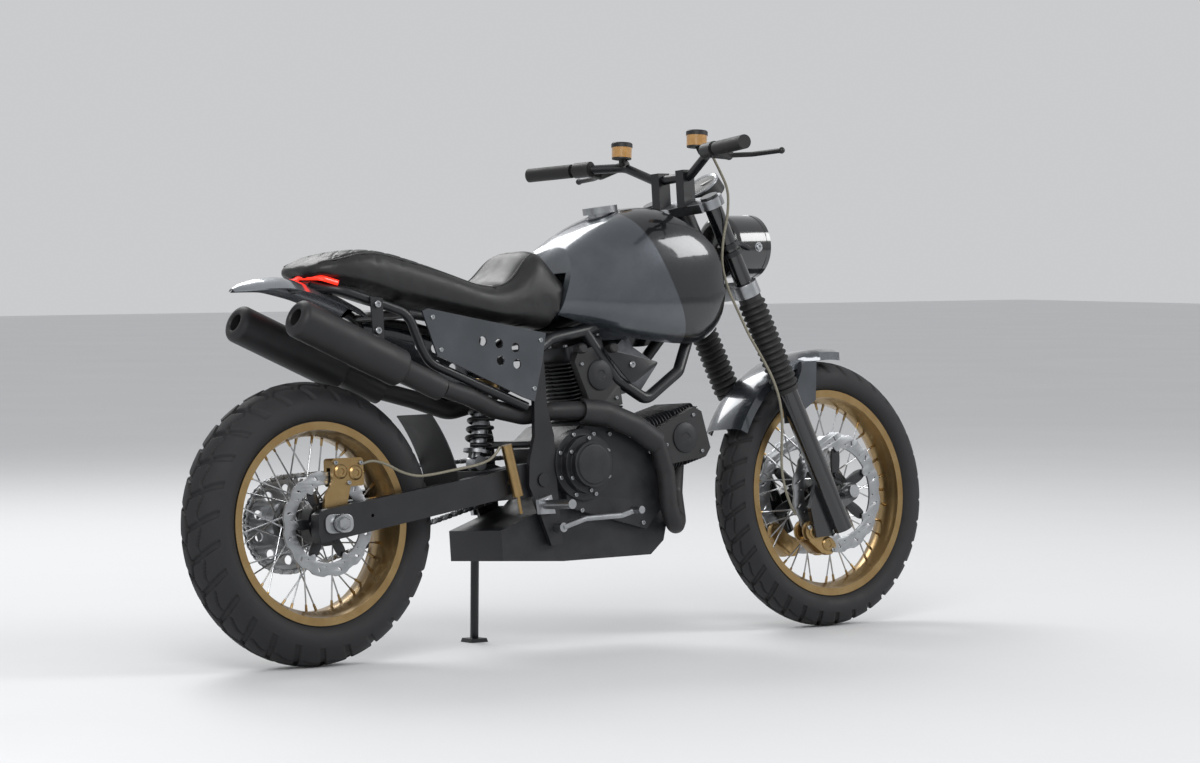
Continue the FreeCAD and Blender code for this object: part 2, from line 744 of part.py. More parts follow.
def rear_brake():
    # caliper on a cast bracket round the axle, and the master cylinder by the right foot
    z = rear_axle_z
    disc_y = -78.0
    bracket_low = -arm_inner + 1
    bracket_high = disc_y - 5 - 5
    body = block(8, 92, -97, -62, z + 82, z + 146)
    body = body.makeFillet(8, [edge for edge in body.Edges if abs(edge.tangentAt(0).y) > 0.9])
    body = body.cut(disc(0, z, rear_disc_radius + 5, 30, disc_y - 10, disc_y + 5))
    bracket = plate([(-22, z), (-14, z + 60), (12, z + 100), (60, z + 96), (44, z + 40), (22, z)],
        bracket_low, bracket_high)
    ring = pin(0, z, 24, bracket_low, bracket_high)
    whole = fuse([body, bracket, ring]).cut(pin(0, z, axle_radius + fit_gap, -120, 0))
    whole = whole.cut(disc(0, z, rear_disc_radius + 5, 5, disc_y - 10, disc_y + 5))
    base = from_pivot(-89, -145, 363)
    top = from_pivot(-117, -145, 482)
    cylinder = rod(base, top, 13)
    pushrod = rod(from_pivot(-82, -145, 322), base, 4)
    reservoir_pin = rod(from_pivot(-97, -145, 395), from_pivot(-97, -arm_outer - fit_gap, 395), 8)
    return group([whole, fuse([cylinder, pushrod, reservoir_pin])])


def rear_brake_hose():
    y = -arm_outer - 7
    route = [
        vec(93, -86, rear_axle_z + 130), vec(120, -92, rear_axle_z + 138),
        vec(152, -104, rear_axle_z + 128),
        vec(180, -118, rear_axle_z + 108), vec(214, y + 4, rear_axle_z + 97),
        vec(256, y, rear_axle_z + 100),
        vec(300, y - 1, rear_axle_z + 106), vec(pivot_x - 230, y - 2, rear_axle_z + 112),
        vec(pivot_x - 190, y - 2, rear_axle_z + 118), vec(pivot_x - 160, y - 3, rear_axle_z + 128),
        vec(pivot_x - 145, y - 5, rear_axle_z + 141), vec(pivot_x - 134.5, y - 8, rear_axle_z + 156),
    ]
    return hose("rear_brake_hose", route, hose_radius)


def inner_fender():
    inner = rear_tyre_radius + 62
    half = rear_tyre_width / 2 - 6
    ring = turned([(-half, inner), (half, inner), (half, inner + 3), (-half, inner + 3)], 0,
        rear_axle_z)
    far = 700
    spread = [vec(0, -300, rear_axle_z)]
    for angle in (9, 38):
        turn = math.radians(angle)
        spread.append(vec(far * math.cos(turn), -300, rear_axle_z + far * math.sin(turn)))
    wedge = Part.Face(Part.makePolygon(spread + spread[:1])).extrude(vec(0, 600, 0))
    skin = ring.common(wedge)
    foot = block(inner - 4, pivot_x - 140 - fit_gap, -30, 30, rear_axle_z + 66, rear_axle_z + 74)
    foot = foot.cut(pin(0, rear_axle_z, inner + 1, -100, 100))
    return fuse([skin, foot])


def side_stand():
    # leg with a flat foot; the foot's sole lies in the ground plane of the leaning machine
    hinge = from_pivot(-15, 136, 262)
    ground = math.tan(lean)
    foot_y = 214.0
    sole = foot_y * ground
    foot_x = hinge.x + 42
    shank = rod(hinge, vec(foot_x, foot_y, sole + 6), 10)
    eye = pin(hinge.x, hinge.z, 17, 127 + fit_gap, 145)
    pad = plate([(foot_x - 26, 0), (foot_x + 26, 0), (foot_x + 22, 9), (foot_x - 22, 9)], foot_y - 20,
        foot_y + 20)
    pad.translate(vec(0, 0, sole))
    pad.rotate(vec(foot_x, foot_y, sole), vec(1, 0, 0), lean_angle)
    keep = block(0, 2000, 0, 400, 0, 600)
    keep.rotate(vec(0, 0, 0), vec(1, 0, 0), lean_angle)
    whole = fuse([shank, eye, pad]).common(keep)
    whole = whole.cut(pin(hinge.x, hinge.z, 19, 145, 190)).cut(pin(hinge.x, hinge.z, 60, 90,
        127 + fit_gap))
    return whole.cut(pin(hinge.x, hinge.z, 8 + 2 * running_gap, 100, 160))


def stand_bracket():
    hinge = from_pivot(-15, 136, 262)
    lug = plate([(hinge.x - 20, 240), (hinge.x - 20, 290), (hinge.x + 30, 300), (hinge.x + 52, 262),
        (hinge.x + 30, 236)], 104, 127)
    pivot_pin = pin(hinge.x, hinge.z, 8, 120, 148)
    cap = pin(hinge.x, hinge.z, 13, 145 + fit_gap, 150)
    cut_plate = block(pivot_x - 60, pivot_x + 70, plate_offset - fit_gap,
        plate_offset + plate_thickness + fit_gap, 200, 350)
    lug = lug.cut(cut_plate).cut(pin(pivot_x + 34, 285, 13, 90, 140)).cut(pin(pivot_x + 28, 262, 10,
        90, 140))
    lug = max(lug.Solids, key=lambda solid: solid.BoundBox.YMax)
    return fuse([lug, pivot_pin, cap])


# body
seat_tank_low = (pivot_x + 78, 763.0)
seat_tank_high = (pivot_x + 128, 925.0)


def seat():
    stations = [
        (-588, 30, 884, 897), (-572, 78, 879, 912), (-531, 104, 868, 925), (-440, 114, 845, 937),
        (-330, 117, 815, 918), (-200, 122, 790, 876), (-110, 124, 773, 853), (-60, 122, 764, 862),
        (-10, 118, 757, 905), (45, 112, 752, 931), (130, 104, 748, 926),
    ]
    wires = []
    for x, half, low, high in stations:
        wires.append(oval(pivot_x + x, half, low, low + 0.42 * (high - low), high, 0, 0.6))
    body = Part.makeLoft(wires, True, False)
    return body.common(behind_or_ahead(seat_tank_low, seat_tank_high, False, -0.3)).cut(tail_light(0.4))


def fuel_tank():
    rear = pivot_x + 70
    front = fork_place.multVec(vec(-stem_setback, 0, lower_clamp_height + 80)).x - 4
    span = front - rear
    # share of the length, half width share, bottom, widest height, top
    stations = [
        (0.0, 0.66, 762, 830, 905), (0.08, 0.74, 756, 830, 930), (0.2, 0.86, 744, 828, 970),
        (0.36, 0.96, 722, 830, 1012),
        (0.52, 1.0, 706, 838, 1036), (0.7, 1.0, 694, 850, 1036), (0.86, 0.93, 700, 866, 1012),
        (1.0, 0.72, 790, 880, 966),
    ]
    wires = []
    for share, width, low, wide, high in stations:
        wires.append(oval(rear + share * span, tank_half_width * width, low, wide, high, 0, 0.72))
    body = Part.makeLoft(wires, True, False)
    body = body.common(behind_or_ahead(seat_tank_low, seat_tank_high, True, 0.3))
    tunnel = block(rear - 50, front + 100, -tunnel_half_width - 20, tunnel_half_width + 20, 600, 880)
    cut_ring = upright(-stem_setback, 0, 150, 300, 1100).cut(upright(-stem_setback, 0, 62, 200, 1200))
    nose = math.radians(20)
    wedge_points = [vec(-stem_setback, 0, 200), vec(-stem_setback - 400, -400 * math.tan(nose), 200)]
    wedge_points.append(vec(-stem_setback - 400, 400 * math.tan(nose), 200))
    wedge = Part.Face(Part.makePolygon(wedge_points + wedge_points[:1])).extrude(vec(0, 0, 1200))
    sweep = cut_ring.cut(wedge)
    core = upright(-stem_setback, 0, 66, 200, 1200)
    clear = on_fork(fuse([sweep, core]))
    body = body.cut(tunnel).cut(clear)
    for strut in head_struts(2.0):
        body = body.cut(strut)
    return body.cut(fuel_cap(fit_gap)).cut(main_frame(frame_clearance))


def cap_place():
    return vec(pivot_x + 296, 0, 1026)


def fuel_cap(extra=0.0):
    at = cap_place()
    tilt = vec(-0.12, 0, 1)
    return fuse([Part.makeCylinder(42 + extra, 16, at, tilt),
        Part.makeCylinder(30 + extra, 12, at - tilt * (10 + extra), tilt)])


def side_panels():
    outline = [(-328, 795), (-312, 800), (20, 738), (8, 676), (-20, 580), (-53, 591), (-290, 692)]
    panel = plate([(pivot_x + x, z) for x, z in outline], -panel_offset - 5, -panel_offset)
    for x, z in ((-161, 723), (-115, 716), (-69, 706), (-113, 677), (-66, 668)):
        panel = panel.cut(pin(pivot_x + x, z, 11, -200, 0))
    return pair(panel)


def rear_fender():
    outer = [(-755, 857), (-700, 874), (-638, 884), (-560, 866), (-500, 846), (-430, 812), (-470, 806),
        (-560, 838),
             (-640, 858), (-700, 846), (-731, 827)]
    shell = plate([(pivot_x + x, z) for x, z in outer], -70, 70)
    return shell.cut(subframe(frame_clearance))


def tail_light(extra=0.0):
    bar = tube([
        from_pivot(-530, -96, 862), from_pivot(-560, -70, 876), from_pivot(-570, 0, 880),
        from_pivot(-560, 70, 876), from_pivot(-530, 96, 862),
    ], 6 + extra, 40)
    return bar


# engine
def crankcase():
    outline = [
        (60, 470), (125, 520), (225, 545), (330, 520), (385, 440), (390, 330), (365, 240), (325, 208),
        (65, 205),
        (-110, 214), (-112, 285), (20, 330), (54, 360),
    ]
    middle = plate([(pivot_x + x, z) for x, z in outline], -case_half_width, case_half_width)
    pocket = block(pivot_x - 20, pivot_x + 126, 76, 110, 338, 486)
    sprocket = pin(pivot_x + 78, 412, front_sprocket_radius + 3, 75, chain_offset + 3)
    return fuse([middle.cut(pocket), sprocket]).cut(pin(pivot_x + 28, 262, 9 + fit_gap, -200, 200))


def engine_covers():
    x = pivot_x + 118
    z = 429.0
    start = case_half_width + fit_gap
    base = pin(x, z, 84, -130, -start)
    step = pin(x, z, 68, -150, -130)
    face = pin(x, z, 54, -167, -150)
    right_case = plate(
        [(pivot_x + px, pz) for px, pz in [(60, 470), (130, 520), (300, 500), (370, 420), (365, 330),
            (300, 270), (70, 330)]],
        -122, -start,
    )
    clutch = fuse([base, step, face, right_case])
    left = fuse([
        pin(pivot_x + crank_ahead, crank_height, 92, start, 132),
        pin(pivot_x + crank_ahead, crank_height, 70, 132, 150),
    ])
    clear = main_frame(frame_clearance)
    return group([clutch.cut(clear), left.cut(clear)])


def engine_axis(angle):
    turn = math.radians(angle)
    return vec(math.cos(turn), 0, math.sin(turn))


def cylinders():
    crank = from_pivot(crank_ahead, 0, crank_height)
    pieces = []
    for angle, reach in ((105, 300), (15, 282)):
        along = engine_axis(angle)
        across = vec(-along.z, 0, along.x)
        barrel = rod(crank + along * 60, crank + along * 210, 66)
        head = Part.makeBox(136, 156, reach - 200)
        head.translate(vec(-68, -78, 0))
        head.Placement = FreeCAD.Placement(
            crank + along * 200, FreeCAD.Rotation(across, vec(0, -1, 0), along, "ZXY")
        ).multiply(head.Placement)
        pieces.append(fuse([barrel, head]))
    whole = fuse(pieces)
    grown = plate([(pivot_x + x, z) for x, z in [
        (40, 470), (110, 521), (225, 545 + fit_gap), (331, 520 + fit_gap), (386 + fit_gap, 440),
        (391, 330), (300, 200), (0, 200)]],
        -case_half_width - 1, case_half_width + 1)
    return whole.cut(grown).cut(main_frame(frame_clearance))


def belt_covers():
    crank = from_pivot(crank_ahead, 0, crank_height)
    covers = []
    for angle, low, high in ((105, 130, 285), (15, 110, 268)):
        along = engine_axis(angle)
        across = vec(-along.z, 0, along.x)
        corners = []
        for reach, half in ((low, 44), (high - 20, 62), (high, 46)):
            corners.append((reach, half))
        outline = [crank + along * reach + across * half for reach, half in corners]
        outline += [crank + along * reach - across * half for reach, half in reversed(corners)]
        cover = plate([(point.x, point.z) for point in outline], -98, -78 - fit_gap)
        covers.append(cover.cut(crankcase()).cut(main_frame(frame_clearance)))
    return [max(cover.Solids, key=lambda solid: solid.Volume) for cover in covers]


def intake():
    box = plate([(pivot_x + x, z) for x,
        z in [(285, 590), (262, 690), (300, 722), (404, 660), (352, 600)]], -58, 58)
    funnel = rod(from_pivot(310, 0, 620), from_pivot(288, 0, 546), 26)
    return fuse([box, funnel]).cut(cylinders())


# exhaust
def exhaust_headers():
    y = -148
    right = tube([
        from_pivot(470, -30, 432), from_pivot(452, -40, 350), from_pivot(420, -90, 285),
        from_pivot(372, y + 6, 272),
        from_pivot(350, y, 320), from_pivot(346, y, 400), from_pivot(324, y, 470),
        from_pivot(255, y, 514),
        from_pivot(165, y, 548), from_pivot(106, y + 4, 556), from_pivot(50, -97, 556),
        from_pivot(-20, -84, 548),
        from_pivot(-110, -90, 566), from_pivot(-195, -110, 597), from_pivot(-274, -122, 619),
    ], header_radius, 44)
    left = tube([
        from_pivot(98, 20, 655), from_pivot(30, 48, 626), from_pivot(-40, 71.4, 584),
        from_pivot(-110, 87.4, 566),
        from_pivot(-195, 110, 597), from_pivot(-274, 122, 619),
    ], header_radius, 60)
    return group([right.cut(cylinders()), left.cut(cylinders())])


def muffler_ends():
    return vec(pivot_x - 670, -muffler_offset, 787), vec(pivot_x - 390, -muffler_offset, 664)


def mufflers():
    tail, front = muffler_ends()
    along = (front - tail).normalize()
    can = rod(tail, front, muffler_radius)
    cone = Part.makeCone(muffler_radius, 30, 26, front, along)
    link = rod(front, vec(pivot_x - 280, -muffler_offset + 2, 617), 29)
    outlet = rod(tail - along * 1, tail + along * 40, 24)
    body = fuse([can, cone, link]).cut(outlet)
    return pair(body)


def muffler_hangers():
    # a flat strap beside each frame rail, standing on the top of its muffler
    low = 100.0 + rail_radius + fit_gap + 0.1
    outline = [(-458, 830), (-424, 826), (-424, 690), (-450, 690)]
    strap = plate([(pivot_x + x, z) for x, z in outline], -low - 4, -low)
    tail, front = muffler_ends()
    return pair(strap.cut(rod(tail, front, muffler_radius + fit_gap)).cut(subframe(fit_gap)))


def heat_shield():
    spine = [from_pivot(98, -147, 555), from_pivot(165, -148, 548), from_pivot(255, -148, 514),
        from_pivot(318, -148, 474)]
    outer = tube(spine, header_radius + 7, 44)
    inner = tube([spine[0] - vec(5, 0, 0)] + spine[1:3] + [spine[3] + (spine[3] - spine[2]) * 0.1],
        header_radius + 3, 44)
    shell = outer.cut(inner)
    keep = block(pivot_x, pivot_x + 400, -200, -148, 300, 700)
    return shell.common(keep)


# foot controls and chain
def foot_controls():
    pieces = []
    for side in (1, -1):
        start = side * (plate_offset + plate_thickness + 0.8)
        hanger_low, hanger_high = sorted((start, start + side * 12))
        hanger = plate([(pivot_x - 22, 318), (pivot_x - 26, 352), (pivot_x + 12, 362),
            (pivot_x + 22, 318)], hanger_low, hanger_high)
        peg = rod(from_pivot(-6, start, 340), from_pivot(-12, side * 250, 340), 11)
        pieces.append(fuse([hanger, peg]))
        pedal_pivot = from_pivot(34, start, 285)
        boss = rod(pedal_pivot, from_pivot(34, side * 152, 285), 11)
        arm = tube([
            from_pivot(34, side * 148, 285), from_pivot(100, side * 149, 303),
            from_pivot(200, side * 160, 306),
            from_pivot(236, side * 168, 318),
        ], 7, 40)
        toe = rod(from_pivot(232, side * 160, 317), from_pivot(232, side * 196, 317), 9)
        pieces.append(fuse([boss, arm, toe]))
    return group(pieces)


def chain():
    y_low = chain_offset - 8
    y_high = chain_offset + 8
    rear = (0.0, rear_axle_z)
    front = (pivot_x + 78, 412.0)
    solids = []
    for grow in (13.0, 1.8):
        big = rear_sprocket_radius + grow + 1.5
        small = front_sprocket_radius + grow + 1.5
        gap = math.hypot(front[0] - rear[0], front[1] - rear[1])
        tilt = math.atan2(front[1] - rear[1], front[0] - rear[0])
        spread = math.acos((big - small) / gap)
        corners = []
        for sign in (1, -1):
            turn = tilt + sign * spread
            corners.append(((rear[0] + big * math.cos(turn), rear[1] + big * math.sin(turn)),
                            (front[0] + small * math.cos(turn), front[1] + small * math.sin(turn))))
        outline = [corners[0][0], corners[0][1], corners[1][1], corners[1][0]]
        solids.append(fuse([
            pin(rear[0], rear[1], big, y_low, y_high), pin(front[0], front[1], small, y_low, y_high),
            plate(outline, y_low, y_high),
        ]))
    return solids[0].cut(solids[1])


def chassis():
    return {
        "main_frame": main_frame(),
        "steering_bearings": steering_bearings(),
        "subframe": subframe(),
        "swingarm": swingarm(),
        "rear_axle": rear_axle(),
        "rear_suspension": rear_suspension(),
        "rear_brake": rear_brake(),
        "rear_brake_hose": rear_brake_hose(),
        "inner_fender": inner_fender(),
        "stand_bracket": stand_bracket(),
        "seat": seat(),
        "fuel_tank": fuel_tank(),
        "fuel_cap": fuel_cap(),
        "side_panels": side_panels(),
        "rear_fender": rear_fender(),
        "tail_light": tail_light(),
        "crankcase": crankcase(),
        "engine_covers": engine_covers(),
        "cylinders": cylinders(),
        "belt_covers": group(belt_covers()),
        "intake": intake(),
        "exhaust_headers": exhaust_headers(),
        "mufflers": mufflers(),
        "muffler_hangers": muffler_hangers(),
        "heat_shield": heat_shield(),
        "foot_controls": foot_controls(),
        "chain": chain(),
    }


# stance and export
turn_steering = FreeCAD.Placement(vec(0, 0, 0), FreeCAD.Rotation(stem_axis, parked_steer), stem_point)
lean_over = FreeCAD.Placement(vec(0, 0, 0), FreeCAD.Rotation(vec(1, 0, 0), -lean_angle))
bodies = {
    "chassis": (chassis(), lean_over),
    "rear_wheel": (rear_wheel(), lean_over),
    "side_stand": ({"side_stand": side_stand()}, lean_over),
    "steering": (steering(), lean_over.multiply(turn_steering)),
    "front_wheel": (front_wheel(), lean_over.multiply(turn_steering)),
}


def extent(shapes):
    low = [1.0e9] * 3
    high = [-1.0e9] * 3
    for shape in shapes:
        points = shape.tessellate(0.4)[0]
        for axis in range(3):
            low[axis] = min(low[axis], min(point[axis] for point in points))
            high[axis] = max(high[axis], max(point[axis] for point in points))
    return low, high


def main():
    os.makedirs("parts", exist_ok=True)
    placed = {}
    for nodes, place in bodies.values():
        for name, shape in nodes.items():
            moved = shape.copy()
            moved.Placement = place.multiply(shape.Placement)
            placed[name] = moved
    low, high = extent(placed.values())
    shift = vec(-(low[0] + high[0]) / 2, -(low[1] + high[1]) / 2, -low[2])
    for name, shape in placed.items():
        shape.translate(shift)
        shape.exportStep(f"parts/{name}.step")
        print(name, len(shape.Solids), shape.isValid(), round(shape.Volume))
    print("size", [round(top - bottom, 1) for bottom, top in zip(low, high)])
    steered = lean_over.multiply(turn_steering)
    hinge = from_pivot(-15, 136, 262)
    pivots = {
        "rear_wheel": (lean_over, vec(0, 0, rear_axle_z), vec(0, 1, 0)),
        "front_wheel": (steered, vec(front_axle_x, 0, front_axle_z), vec(0, 1, 0)),
        "steering": (lean_over, stem_point, stem_axis),
        "side_stand": (lean_over, hinge, vec(0, 1, 0)),
        "thread": (lean_over, vec(thread_x, (arm_inner + arm_outer) / 2, rear_axle_z + thread_rise),
            vec(0, 1, 0)),
    }
    for name, (place, point, axis) in pivots.items():
        at = place.multVec(point) + shift
        way = place.Rotation.multVec(axis)
        print("pivot", name, at.x, at.y, at.z, way.x, way.y, way.z)


main()
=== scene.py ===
import json
import math
import bmesh
import bpy
import numpy as np
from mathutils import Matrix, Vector
from mathutils.bvhtree import BVHTree


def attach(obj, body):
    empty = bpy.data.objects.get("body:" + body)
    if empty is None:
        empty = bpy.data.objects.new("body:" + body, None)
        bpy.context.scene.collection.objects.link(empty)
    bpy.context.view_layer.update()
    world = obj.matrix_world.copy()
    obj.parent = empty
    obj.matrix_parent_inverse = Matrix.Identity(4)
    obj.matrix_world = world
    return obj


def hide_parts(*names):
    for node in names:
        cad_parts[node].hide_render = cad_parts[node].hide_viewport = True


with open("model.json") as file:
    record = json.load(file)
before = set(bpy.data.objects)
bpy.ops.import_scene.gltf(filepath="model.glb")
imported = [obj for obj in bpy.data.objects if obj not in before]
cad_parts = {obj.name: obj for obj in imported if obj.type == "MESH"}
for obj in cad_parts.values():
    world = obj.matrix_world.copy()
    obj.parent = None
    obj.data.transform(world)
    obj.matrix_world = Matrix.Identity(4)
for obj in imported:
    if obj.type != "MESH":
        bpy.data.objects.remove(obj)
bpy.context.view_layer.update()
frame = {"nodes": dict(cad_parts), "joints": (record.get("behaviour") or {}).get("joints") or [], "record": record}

joints = {joint["name"]: joint for joint in frame["joints"]}
slots = {part["node"]: part["material_slot"] for part in frame["record"]["subparts"]}
bodyOf = {node: body for body, nodes in frame["record"]["behaviour"]["bodies"].items() for node in nodes}

# axes in metres: two sets: the leaning chassis from the rear axle, and the fork from the front axle
rearAxle = np.array(joints["rear_wheel_spin"]["pos_m"])
across = np.array(joints["rear_wheel_spin"]["axis"])
ahead = np.array([1.0, 0.0, 0.0])
above = np.cross(ahead, across)
frontAxle = np.array(joints["front_wheel_spin"]["pos_m"])
forkAcross = np.array(joints["front_wheel_spin"]["axis"])
forkUp = np.array(joints["steering_turn"]["axis"])
forkAhead = np.cross(forkAcross, forkUp)
axleLead = 0.062
forkRake = math.radians(25.0)
straightAxle = (1.525, 0.007)


def chassisPoint(x, y, z):
    # x from the rear axle, y to the left, z above the axle, in metres; arrays work too
    return rearAxle + np.multiply.outer(x, ahead) + np.multiply.outer(y, across) + np.multiply.outer(z, above)


def forkPoint(u, v, s):
    # u forward of the fork legs, v to the left, s up the legs from beside the axle
    foot = frontAxle - axleLead * forkAhead
    return (foot + np.multiply.outer(u, forkAhead) + np.multiply.outer(v, forkAcross)
            + np.multiply.outer(s, forkUp))


def forkFromChassis(x, y, z):
    # a point given in the straight-ahead chassis axes, carried by the fork: x from the rear axle, z above it
    c, s = math.cos(forkRake), math.sin(forkRake)
    dx, dz = x - straightAxle[0], z - straightAxle[1]
    return forkPoint(axleLead + dx * c + dz * s, y, -dx * s + dz * c)


# materials
def linear(hexColour, alpha=1.0):
    parts = [int(hexColour[i:i + 2], 16) / 255 for i in (1, 3, 5)]
    return [c / 12.92 if c <= 0.04045 else ((c + 0.055) / 1.055) ** 2.4 for c in parts] + [alpha]


def addNode(tree, kind, settings=None, links=None):
    # adds one node, sets its sockets and properties, and links its inputs
    node = tree.nodes.new(kind)
    for key, value in (settings or {}).items():
        if key in node.inputs:
            node.inputs[key].default_value = value
        else:
            setattr(node, key, value)
    for key, source in (links or {}).items():
        tree.links.new(source, node.inputs[key])
    return node


def finish(name, base, shade, metallic, rough, grainMm, bumpMm, fineMm=0.8, coat=0.0, spec=0.5,
           stretch=(1, 1, 1)):
    # base and shade are the two colours that the surface drifts between; grainMm is the drift's size,
    # fineMm the size of the fine grain that makes the bump and breaks up the gloss
    material = bpy.data.materials.new(name)
    material.use_nodes = True
    tree = material.node_tree
    shader = tree.nodes["Principled BSDF"]
    shader.inputs["Metallic"].default_value = metallic
    shader.inputs["Coat Weight"].default_value = coat
    shader.inputs["Coat Roughness"].default_value = 0.06
    shader.inputs["Specular IOR Level"].default_value = spec
    place = addNode(tree, "ShaderNodeTexCoord")
    turn = addNode(tree, "ShaderNodeMapping", {"Scale": stretch}, {"Vector": place.outputs["Object"]})
    broad = addNode(tree, "ShaderNodeTexNoise", {"Scale": 1000 / grainMm, "Detail": 4.0},
                    {"Vector": turn.outputs[0]})
    fine = addNode(tree, "ShaderNodeTexNoise", {"Scale": 1000 / fineMm, "Detail": 3.0},
                   {"Vector": turn.outputs[0]})
    drift = addNode(tree, "ShaderNodeMapRange", {"From Min": 0.35, "From Max": 0.65},
                    {"Value": broad.outputs[0]})
    mix = addNode(tree, "ShaderNodeMix", {"data_type": "RGBA"}, {"Factor": drift.outputs[0]})
    mix.inputs[6].default_value = linear(base)
    mix.inputs[7].default_value = linear(shade)
    tree.links.new(mix.outputs[2], shader.inputs["Base Color"])
    blend = addNode(tree, "ShaderNodeMath", {"operation": "ADD"}, {0: broad.outputs[0], 1: fine.outputs[0]})
    spread = {"From Min": 0.6, "From Max": 1.4, "To Min": rough * 0.8, "To Max": rough * 1.2}
    gloss = addNode(tree, "ShaderNodeMapRange", spread, {"Value": blend.outputs[0]})
    tree.links.new(gloss.outputs[0], shader.inputs["Roughness"])
    bump = addNode(tree, "ShaderNodeBump", {"Strength": 0.5, "Distance": bumpMm / 1000},
                   {"Height": fine.outputs[0]})
    tree.links.new(bump.outputs[0], shader.inputs["Normal"])
    return material


print("materials")
looks = {
    "black_paint": finish("powderCoatedSteel", "#101114", "#16171a", 0.0, 0.38, 60, 0.05, 0.9),
    "grey_paint": finish("metallicTankPaint", "#2c3137", "#333940", 0.55, 0.3, 90, 0.004, 0.5, 1.0),
    "black_plastic": finish("mouldedAbs", "#141415", "#1b1b1d", 0.0, 0.5, 40, 0.04, 0.7),
    "steel": finish("brushedSteel", "#b9bbbd", "#a2a4a6", 1.0, 0.28, 30, 0.02, 0.6),
    "chrome": finish("hardChromedTube", "#a7abb0", "#9aa0a6", 1.0, 0.12, 50, 0.003, 0.5),
    "gold": finish("goldAnodisedAluminium", "#a58c63", "#967c54", 1.0, 0.3, 40, 0.015, 0.5),
    "alloy": finish("satinAluminium", "#a8aaac", "#97999c", 1.0, 0.34, 25, 0.03, 0.6),
    "engine": finish("paintedCastAluminium", "#1b1c1f", "#232427", 0.2, 0.46, 30, 0.12, 1.1),
    "tyre": finish("tyreRubber", "#17171a", "#1f1f21", 0.0, 0.72, 35, 0.08, 0.9),
    "rubber": finish("mouldedRubber", "#131314", "#1a1a1b", 0.0, 0.6, 25, 0.06, 0.8),
    "leather": finish("seatLeather", "#121213", "#1a1a1b", 0.0, 0.45, 30, 0.25, 1.6),
    "glass": finish("headlightGlass", "#dfe5ea", "#d5dbe0", 0.0, 0.05, 30, 0.01, 2.0, 1.0),
    "lamp": finish("redLampPlastic", "#b3130e", "#8e0d0a", 0.0, 0.15, 10, 0.05, 2.0, 1.0),
    "glossBlack": finish("glossBlackEnamel", "#0b0c0e", "#101114", 0.0, 0.16, 60, 0.004, 0.6, 1.0),
    "exhaustPaint": finish("heatproofBlackPaint", "#18181a", "#202022", 0.1, 0.55, 35, 0.06, 0.8),
    "fenderPaint": finish("gunmetalEnamel", "#3a3e43", "#45494e", 0.6, 0.24, 80, 0.004, 0.5, 1.0),
    # painted highlight: the rear fender's light silver colour stands in for the silver-blue highlight on its glossy
    # top
    "tailPaintedHighlight": finish("silverPaintedHighlight", "#8b8f94", "#7c8085", 0.7, 0.25, 70, 0.004, 0.5, 1.0),
    "amber": finish("amberFluidPot", "#b98a4a", "#a67a3c", 0.0, 0.2, 12, 0.02, 0.8, 1.0),
    "paleMarks": finish("printedMarks", "#d8d8d2", "#cfcfc8", 0.0, 0.5, 5, 0.005, 0.4),
    "tankPaint": finish("metallicTankPaint", "#41464c", "#4a4f55", 0.55, 0.27, 90, 0.004, 0.5, 1.0),
    "braid": finish("braidedHose", "#8d8878", "#6f6b5e", 0.3, 0.4, 2, 0.15, 0.7),
    "castGrey": finish("castAluminium", "#6d6f72", "#5f6164", 0.9, 0.45, 14, 0.1, 0.9),
}
nodeLooks = {
    "fork_tubes": "glossBlack", "fork_lowers": "glossBlack", "headlight": "glossBlack", "front_fender": "fenderPaint",
    "rear_fender": "tailPaintedHighlight", "exhaust_headers": "exhaustPaint", "mufflers": "exhaustPaint",
    "heat_shield": "exhaustPaint", "side_panels": "fenderPaint", "side_stand": "black_paint", "intake": "castGrey",
    "rear_suspension": "steel", "foot_controls": "alloy", "gauge": "black_plastic",
    "fuel_tank": "tankPaint", "rear_brake_hose": "braid", "front_brake_hose": "braid",
}

replaced = set()


# welded, smooth copies of the frame's pieces with softened edges
softEdges = {
    "angle": 32.0,
    "weld": 0.00002,
    "bevel": 0.0012,
    "beveled": ["main_frame", "swingarm", "crankcase", "engine_covers", "belt_covers", "triple_clamps",
                "rear_brake", "foot_controls", "handlebar_risers", "intake"],
}


def shadeSmooth(work, mesh, angle):
    # puts the worked faces back and shades them smooth but for edges sharper than the angle
    work.to_mesh(mesh)
    work.free()
    mesh.polygons.foreach_set("use_smooth", [True] * len(mesh.polygons))
    mesh.set_sharp_from_angle(angle=math.radians(angle))
    return mesh


def skinOf(node):
    # a copy of the piece with its doubles merged, smooth but for its sharp edges
    mesh = frame["nodes"][node].data.copy()
    mesh.name = node + "Skin"
    work = bmesh.new()
    work.from_mesh(mesh)
    bmesh.ops.remove_doubles(work, verts=work.verts, dist=softEdges["weld"])
    bmesh.ops.dissolve_limit(work, angle_limit=math.radians(1.0), verts=work.verts, edges=work.edges)
    shadeSmooth(work, mesh, softEdges["angle"])
    mesh.materials.clear()
    return addPiece(node + "Skin", mesh, node, slots[node], bodyOf[node])


def addPiece(name, mesh, node, slot, body, look=None):
    piece = bpy.data.objects.new(name, mesh)
    bpy.context.scene.collection.objects.link(piece)
    mesh.materials.append(looks[look or nodeLooks.get(node, slot)])
    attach(piece, body)
    if node:
        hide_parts(node)
        replaced.add(node)
    return piece


